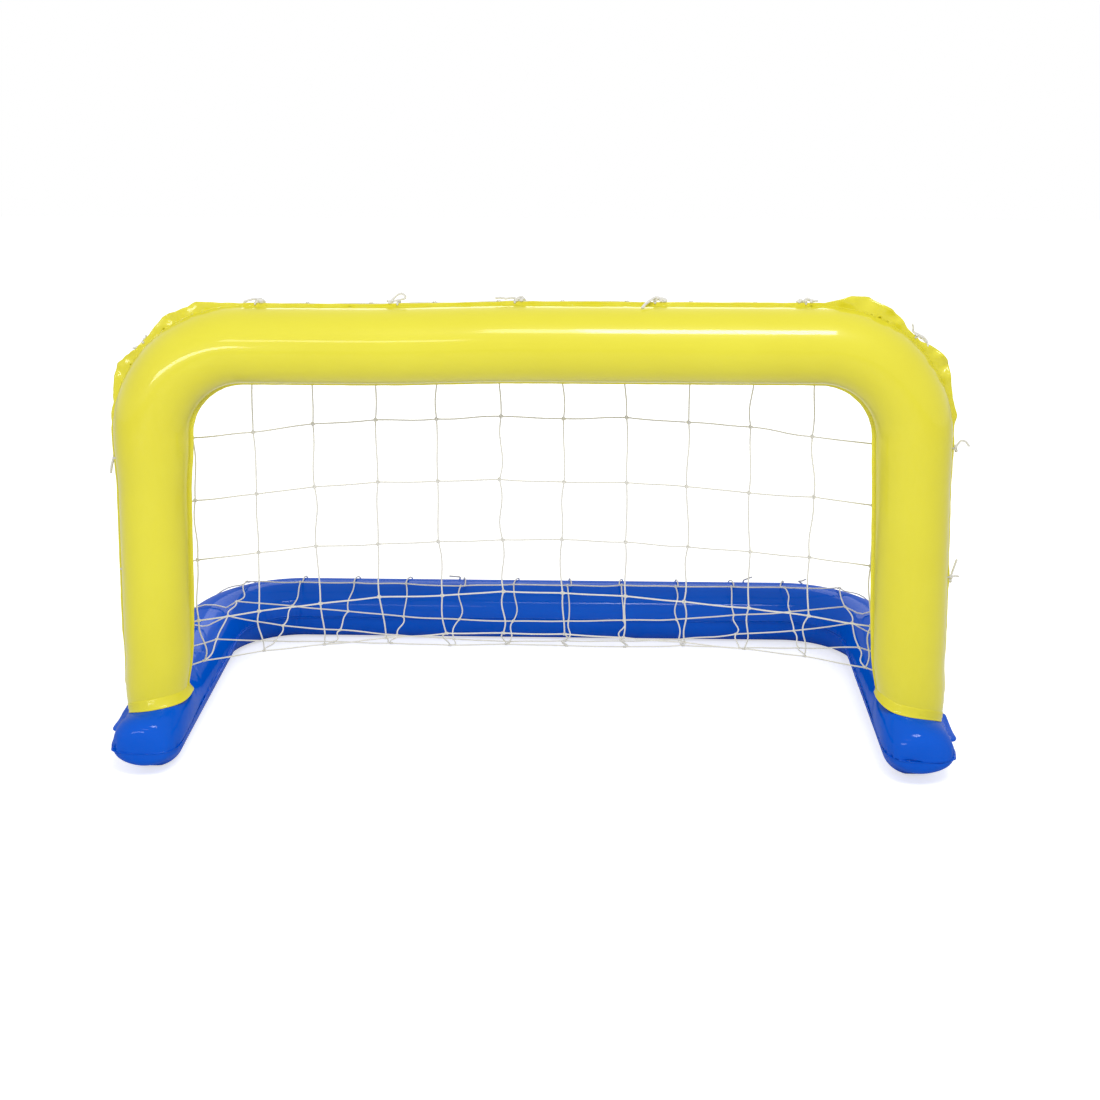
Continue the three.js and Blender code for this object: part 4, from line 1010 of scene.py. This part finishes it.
# The ties
def arch_seats():
    """Where each tie goes through the margin: the tube's centre line there, the way out of the tube, the
    way along it, its radius, the margin's width and the way to the net."""
    seats = []
    for x in TIE_X:
        middle = np.array([x, 0, BAR_Z - float(sag(x, BAR_Z))])
        seats.append((middle, UP, np.array([1.0, 0, 0]), TUBE_R, BAR_TIE_MARGIN, BACK))
    for s, d in TIE_BEND:
        a = math.radians(d)
        o = np.array([s * math.sin(a), 0, math.cos(a)])
        along = np.array([math.cos(a), 0, -s * math.sin(a)])
        margin = float(np.interp(d, *zip(*FLAPS[s])) + 0.6)
        middle = np.array([s * BAR_HALF, 0, BEND_Z]) + o * BEND_R
        middle -= UP * float(sag(middle[0], middle[2]))
        seats.append((middle, o, along, TUBE_R, margin, BACK))
    for s, z in TIE_POST:
        o, along = post_ways(s)
        middle = np.array([s * post_axis(z), 0, z])
        seats.append((middle, o, along, float(post_radius(z, s)), POST_TIE_MARGIN, BACK))
    return seats


REAR_TIE_X = (-500, -170, 85, 400, 520)
ARM_TIE_Y = 290
BASE_TIE_MARGIN = 8.0


def base_seats():
    """The same for the base's ties."""
    seats = []
    for x in REAR_TIE_X:
        past = max(0, abs(x) - BASE_BEND_X)
        a = math.asin(past / (BASE_BEND_R + BASE_R)) * (1 if x > 0 else -1)
        o = np.array([math.sin(a), math.cos(a), 0])
        along = np.array([math.cos(a), -math.sin(a), 0])
        middle = np.array([x, REAR_Y, SEAM_Z])
        if past:
            middle = np.array([math.copysign(BASE_BEND_X, x), BASE_BEND_Y, SEAM_Z]) + o * BASE_BEND_R
        seats.append((middle, o, along, BASE_R, BASE_TIE_MARGIN, UP))
    for s in (-1, 1):
        middle = np.array([s * ARM_X, ARM_TIE_Y, SEAM_Z])
        seats.append((middle, np.array([s, 0, 0.0]), BACK, BASE_R, BASE_TIE_MARGIN, UP))
    return seats


def border_line():
    """Points round the net's border, eight from knot to knot."""
    places = [(c, 0) for c in range(COLUMNS - 1)] + [(COLUMNS - 1, r) for r in range(ROWS - 1)]
    places += [(c, ROWS - 1) for c in range(COLUMNS - 1, 0, -1)] + [(0, r) for r in range(ROWS - 1, 0, -1)]
    line = []
    for (c, r), (c2, r2) in zip(places, places[1:] + places[:1]):
        a, b = knots[c, r], knots[c2, r2]
        line += [settle(a + (b - a) * k / 8, TIED) for k in range(8)]
    return np.array(line)


border = border_line()


def border_at(origin, o, along, back):
    """Where the border crosses a tie's plane: outwards and backwards from the tube's centre line."""
    best = None
    for a, b in zip(border, np.roll(border, -1, 0)):
        s, e = np.dot(a - origin, along), np.dot(b - origin, along)
        if s * e <= 0 and s != e:
            off = a + (b - a) * s / (s - e) - origin
            if best is None or np.linalg.norm(off) < np.linalg.norm(best):
                best = off
    return float(np.dot(best, o)), float(np.dot(best, back))


# The arch's ties, in the order of their places. Each has knots, as (along, outwards, backwards, size) from
# the margin's edge, and free ends and loops, as paths of such points, in millimetres.
ARCH_TIES = [
    ([(4, 3.2, 0, 3.2), (11, 3.4, 0, 3.4)],
     [[(-17, 1.9, 0), (-9, 4.6, 1), (0, 6.4, 0), (7, 5.4, -1), (13, 2.2, 0)],
      [(3, 2, 1), (7, 6.6, 1), (11, 5.6, -1.5), (8, 2.2, -2), (15, 2, 1)]]),
    ([(-10, 2.8, 0, 3.4)],
     [[(-11, 3, 0), (-4, 9, 0.5), (2, 14.2, 0), (7, 15.4, 0), (12.5, 11.5, 0), (12, 8.4, 0),
       (5, 6, 0.5), (-8, 3.4, 0)],
      [(-10, 2.8, 0), (-16, 3.8, 1)]]),
    ([(4, 3.2, 0, 3.4), (11.5, 3.2, 0, 3.5)],
     [[(5, 3.6, 0), (-5, 5.8, 0), (-13, 4.4, 0), (-22, 5.6, 0), (-29, 5, 0)],
      [(2, 2, 1), (7, 6.8, 0), (12, 6.4, 1), (15.5, 2.2, 0)]]),
    ([(2, 4.6, 0, 3.4), (10, 3.2, 0, 3.2)],
     [[(6, 6.4, 0), (0, 7.4, -2), (-7, 4.6, -8), (-14, 0.6, -14), (-20, -4.4, -20)],
      [(3, 4, 1), (10, 5.4, 1), (17, 2.6, 0), (13, 1.9, -1.5)]]),
    ([(-9, 2.6, 0, 3.0), (1, 4.8, 0, 3.8), (9, 3.0, 0, 3.0)],
     [[(-14, 1.9, 0), (-9, 4.4, 1), (-3, 2.4, 0), (1, 7, 0), (6, 4.6, 1), (10, 3.6, 0),
       (17, 3.2, 0)]]),
    ([(3, 0.6, 3, 3.2)],
     [[(-9, -0.6, 2.6), (-15, 1.9, 1), (-18.5, 4.4, 0)], [(7, 0.4, 2.6), (11, 3.4, 1)]]),
    ([(-1, 4, 0, 3.6), (4, 4.4, 1, 3.4)],
     [[(-2, 4, 0), (-9, 3.6, 1), (-13, 7.6, 0), (-18, 10.4, 0)],
      [(0, 4.4, 0), (8, 7.4, 0), (17, 6.4, 0), (24, 1.6, 0)],
      [(2, 3, 1), (11, 4.6, 1), (19, 4.4, 1)]]),
    ([(-4, -1, 5, 3.0)], [[(-10, 0.4, 3.4), (2, 3.2, 3), (14, 6.4, 3), (26, 8.4, 3)]]),
    ([(0, -1.4, 5, 3.0)],
     [[(0, -1.4, 5), (5, -1.8, 8), (12, -2.6, 9)], [(0, -1.4, 5), (-6, -2, 8)]]),
    ([(-2, 2.4, 0, 3.0), (3, 3.4, 1, 3.2)],
     [[(0, 2.4, 0), (-7, 6.6, 0), (-11.5, 11.6, 0), (-10, 17.4, 0), (-2.4, 23.6, 0)]]),
    ([(0, 2.6, 0, 3.2), (6, 2.0, 1, 3.0)],
     [[(0, 2.6, 0), (-9, 5.2, 0), (-20, 8.6, 0), (-29, 11.4, 0)],
      [(0, 2.6, 0), (-1, 9, 0), (-0.4, 15, 0)], [(1, 2.6, 0), (9, 2.2, 1)]]),
]
# On the base each tie has one knot, with an end to each side of it. The two on the arms are alike.
BASE_KNOT = (0, 3, 0)
BASE_KNOT_SIZE = 3.2
BASE_ENDS = [
    [[(-5, 4, -2), (-12, 3, -3)], [(6, 4, -2), (10, 2.6, -4)]],
    [[(-6, 4, -2), (-14, 3, -3)], [(5, 3.4, -3)]],
    [[(-5, 4, -2), (-9, 2.6, -4)], [(5, 3.4, -3), (11, 3, -5)]],
    [[(-6, 4, -2), (-12, 3, -4)], [(7, 3.4, -3), (13, 3, -4)]],
    [[(-5, 4, -2), (-9, 3, -4)], [(6, 3.4, -2), (10, 3, -4)]],
] + [[[(-6, 4, -2), (-11, 3, -4)], [(5, 3.4, -3), (10, 3, -4)]]] * 2
BASE_TIES = [([(*BASE_KNOT, BASE_KNOT_SIZE)], [[BASE_KNOT, *end] for end in ends]) for ends in BASE_ENDS]
# Free ends of the rear ties that reach from the net's border to the tube's top: (along, off the tube)
HIGH = {
    "base_tie_2": [(3, 3.6), (-7, 4.4), (-17, 5.2)],
    "base_tie_4": [(1, 3.6), (9, 6.6), (16, 9.4)],
    "base_tie_5": [(-4, 3.6), (2, 4.6), (9, 8.4)],
}
HIGH_AT = math.radians(66)  # the place on the tube, up from the way backwards
HIGH_R = 1.6
KNOT_CORD_R = 1.6
END_CORD_R = 1.8
THICK_END_R = 2.2
THICK_ENDS = ("arch_tie_4", "arch_tie_8")


def tie(name, seat, tie_knots, paths):
    """Two turns of cord, side by side, through the hole and round the net's border, with knots and ends."""
    origin, o, along, tube, edge, back = seat
    net_out, net_back = border_at(origin, o, along, back)

    def at(a, b, c=0.0):
        return origin + o * a + back * b + along * c

    def turn(r, angle, c=0.0):
        return at(r * math.cos(angle), r * math.sin(angle), c)

    net_r, net_a = math.hypot(net_out, net_back), math.atan2(net_back, net_out)
    ring = CORD_R + TIE_R + 0.5
    hole = tube + edge - 1.9
    rim = tube + edge + TIE_R + 0.3
    front = HALF_GAP + SKIN + TIE_R + 0.3
    under = tube + TIE_R + 0.5
    piece = Build()
    for lay in (-1.1, 1.1):
        loop = [at(hole, -front, lay * 0.4), at(hole, 0, lay * 0.3), at(hole - 0.5, front, lay * 0.5),
                turn((under + min(hole, net_r - ring)) / 2, net_a * 2 / 3, lay),
                turn(net_r - ring, net_a, lay), turn(net_r, net_a + ring / net_r, lay),
                turn(net_r + ring, net_a, lay),
                turn((net_r + ring + max(rim, under + 2.5)) / 2, net_a / 2, lay),
                at(rim, front / 2, lay), at(rim + 0.5, 0, lay), at(rim, -front / 2, lay)]
        piece.tube(spline(loop, 40, True), TIE_R, 7, closed=True)

    def place(c, a, b):
        return at(tube + edge + a, b, c)

    for c, a, b, size in tie_knots:
        piece.knot(place(c, a, b), along + o * 0.3, o, size, KNOT_CORD_R, steps=30, sides=7)
    thick = THICK_END_R if name in THICK_ENDS else END_CORD_R
    for path in paths:
        line = spline([place(*q) for q in path], 10 + 5 * len(path))
        piece.tube(line, thick + 0.12 * wave(np.arange(len(line)), 5, len(path)), 8)
    if name in HIGH:
        rise = [turn(net_r + ring, net_a, 0), turn(tube + CORD_R + 4.5, net_a + 0.2, 1)]
        rise += [turn(tube + CORD_R + a, HIGH_AT, c) for c, a in HIGH[name]]
        piece.tube(spline(rise, 34), HIGH_R, 8)
    obj = make(name + "_cord", piece.verts, piece.faces, CORD)
    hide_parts(name)


for k, (seat, cords) in enumerate(zip(arch_seats(), ARCH_TIES)):
    tie("arch_tie_%d" % (k + 1), seat, *cords)
for k, (seat, cords) in enumerate(zip(base_seats(), BASE_TIES)):
    tie("base_tie_%d" % (k + 1), seat, *cords)


# The valves' pieces stay as they come, with faces that are smooth but for their edges
SHARP_EDGE = math.radians(40)
for name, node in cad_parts.items():
    if "valve" in name:
        node.data.materials.clear()
        node.data.materials.append(VALVE)
        node.data.polygons.foreach_set("use_smooth", [True] * len(node.data.polygons))
        node.data.set_sharp_from_angle(angle=SHARP_EDGE)


# Floor, world and lights
FLOOR = 6  # half of the floor's side, in metres
floor_corners = [(-FLOOR, -FLOOR, 0), (FLOOR, -FLOOR, 0), (FLOOR, FLOOR, 0), (-FLOOR, FLOOR, 0)]
floor_mesh = bpy.data.meshes.new("floor")
floor_mesh.from_pydata(floor_corners, [], [(0, 1, 2, 3)])
floor = add_object("floor", floor_mesh)
floor_mat = bpy.data.materials.new("floor")
floor_mat.use_nodes = True
nt = floor_mat.node_tree
nt.nodes.clear()
output = add_node(nt, "OutputMaterial")
diffuse = add_node(nt, "BsdfDiffuse", Color=(0.75, 0.75, 0.75, 1))
glow = add_node(nt, "Emission", Color=WHITE, Strength=0.62)
seen = add_node(nt, "LightPath")
both = add_node(nt, "AddShader")
plain = add_node(nt, "BsdfDiffuse", Color=(0.8, 0.8, 0.8, 1))
pick = add_node(nt, "MixShader")
nt.links.new(diffuse.outputs[0], both.inputs[0])
nt.links.new(glow.outputs[0], both.inputs[1])
nt.links.new(seen.outputs["Is Camera Ray"], pick.inputs[0])
nt.links.new(plain.outputs[0], pick.inputs[1])
nt.links.new(both.outputs[0], pick.inputs[2])
nt.links.new(pick.outputs[0], output.inputs["Surface"])
floor_mesh.materials.append(floor_mat)

world = bpy.data.worlds.new("world")
bpy.context.scene.world = world
world.use_nodes = True
wt = world.node_tree
background = set_inputs(wt.nodes["Background"], Color=WHITE, Strength=0.63)
white = add_node(wt, "Background", Color=WHITE, Strength=1.0)
path = add_node(wt, "LightPath")
mix = add_node(wt, "MixShader")
seen_white = path.outputs["Is Camera Ray"]
for kind in ("Is Glossy Ray", "Is Transmission Ray"):
    either = add_node(wt, "Math")
    either.operation = "MAXIMUM"
    wt.links.new(seen_white, either.inputs[0])
    wt.links.new(path.outputs[kind], either.inputs[1])
    seen_white = either.outputs[0]
wt.links.new(seen_white, mix.inputs[0])
wt.links.new(background.outputs[0], mix.inputs[1])
wt.links.new(white.outputs[0], mix.inputs[2])
wt.links.new(mix.outputs[0], wt.nodes["World Output"].inputs["Surface"])


def lamp(name, place, target, size, power):
    data = bpy.data.lights.new(name, "AREA")
    data.shape = "RECTANGLE"
    data.size, data.size_y = size
    data.energy = power
    obj = add_object(name, data)
    obj.location = place
    way = Vector(target) - Vector(place)
    obj.rotation_euler = way.to_track_quat("-Z", "Y").to_euler()


lamp("key", (0.6, -2.4, 3.05), (0.5, -0.9, 0.7), (1.1, 0.66), 50)
lamp("key_side", (-0.15, -2.45, 3.05), (-0.1, -0.9, 0.7), (0.4, 0.6), 5)
lamp("bend", (-1.65, -2.75, 0.9), (-0.53, 0, 0.7), (1.35, 0.28), 12)
lamp("strip", (-0.8, -2.75, 1.75), (-0.2, 0, 0.7), (0.9, 0.2), 3)
lamp("behind", (0.3, 3.4, 2.6), (0, 0.2, 0.3), (3.2, 1.8), 52)

bpy.context.scene.view_settings.view_transform = "Standard"
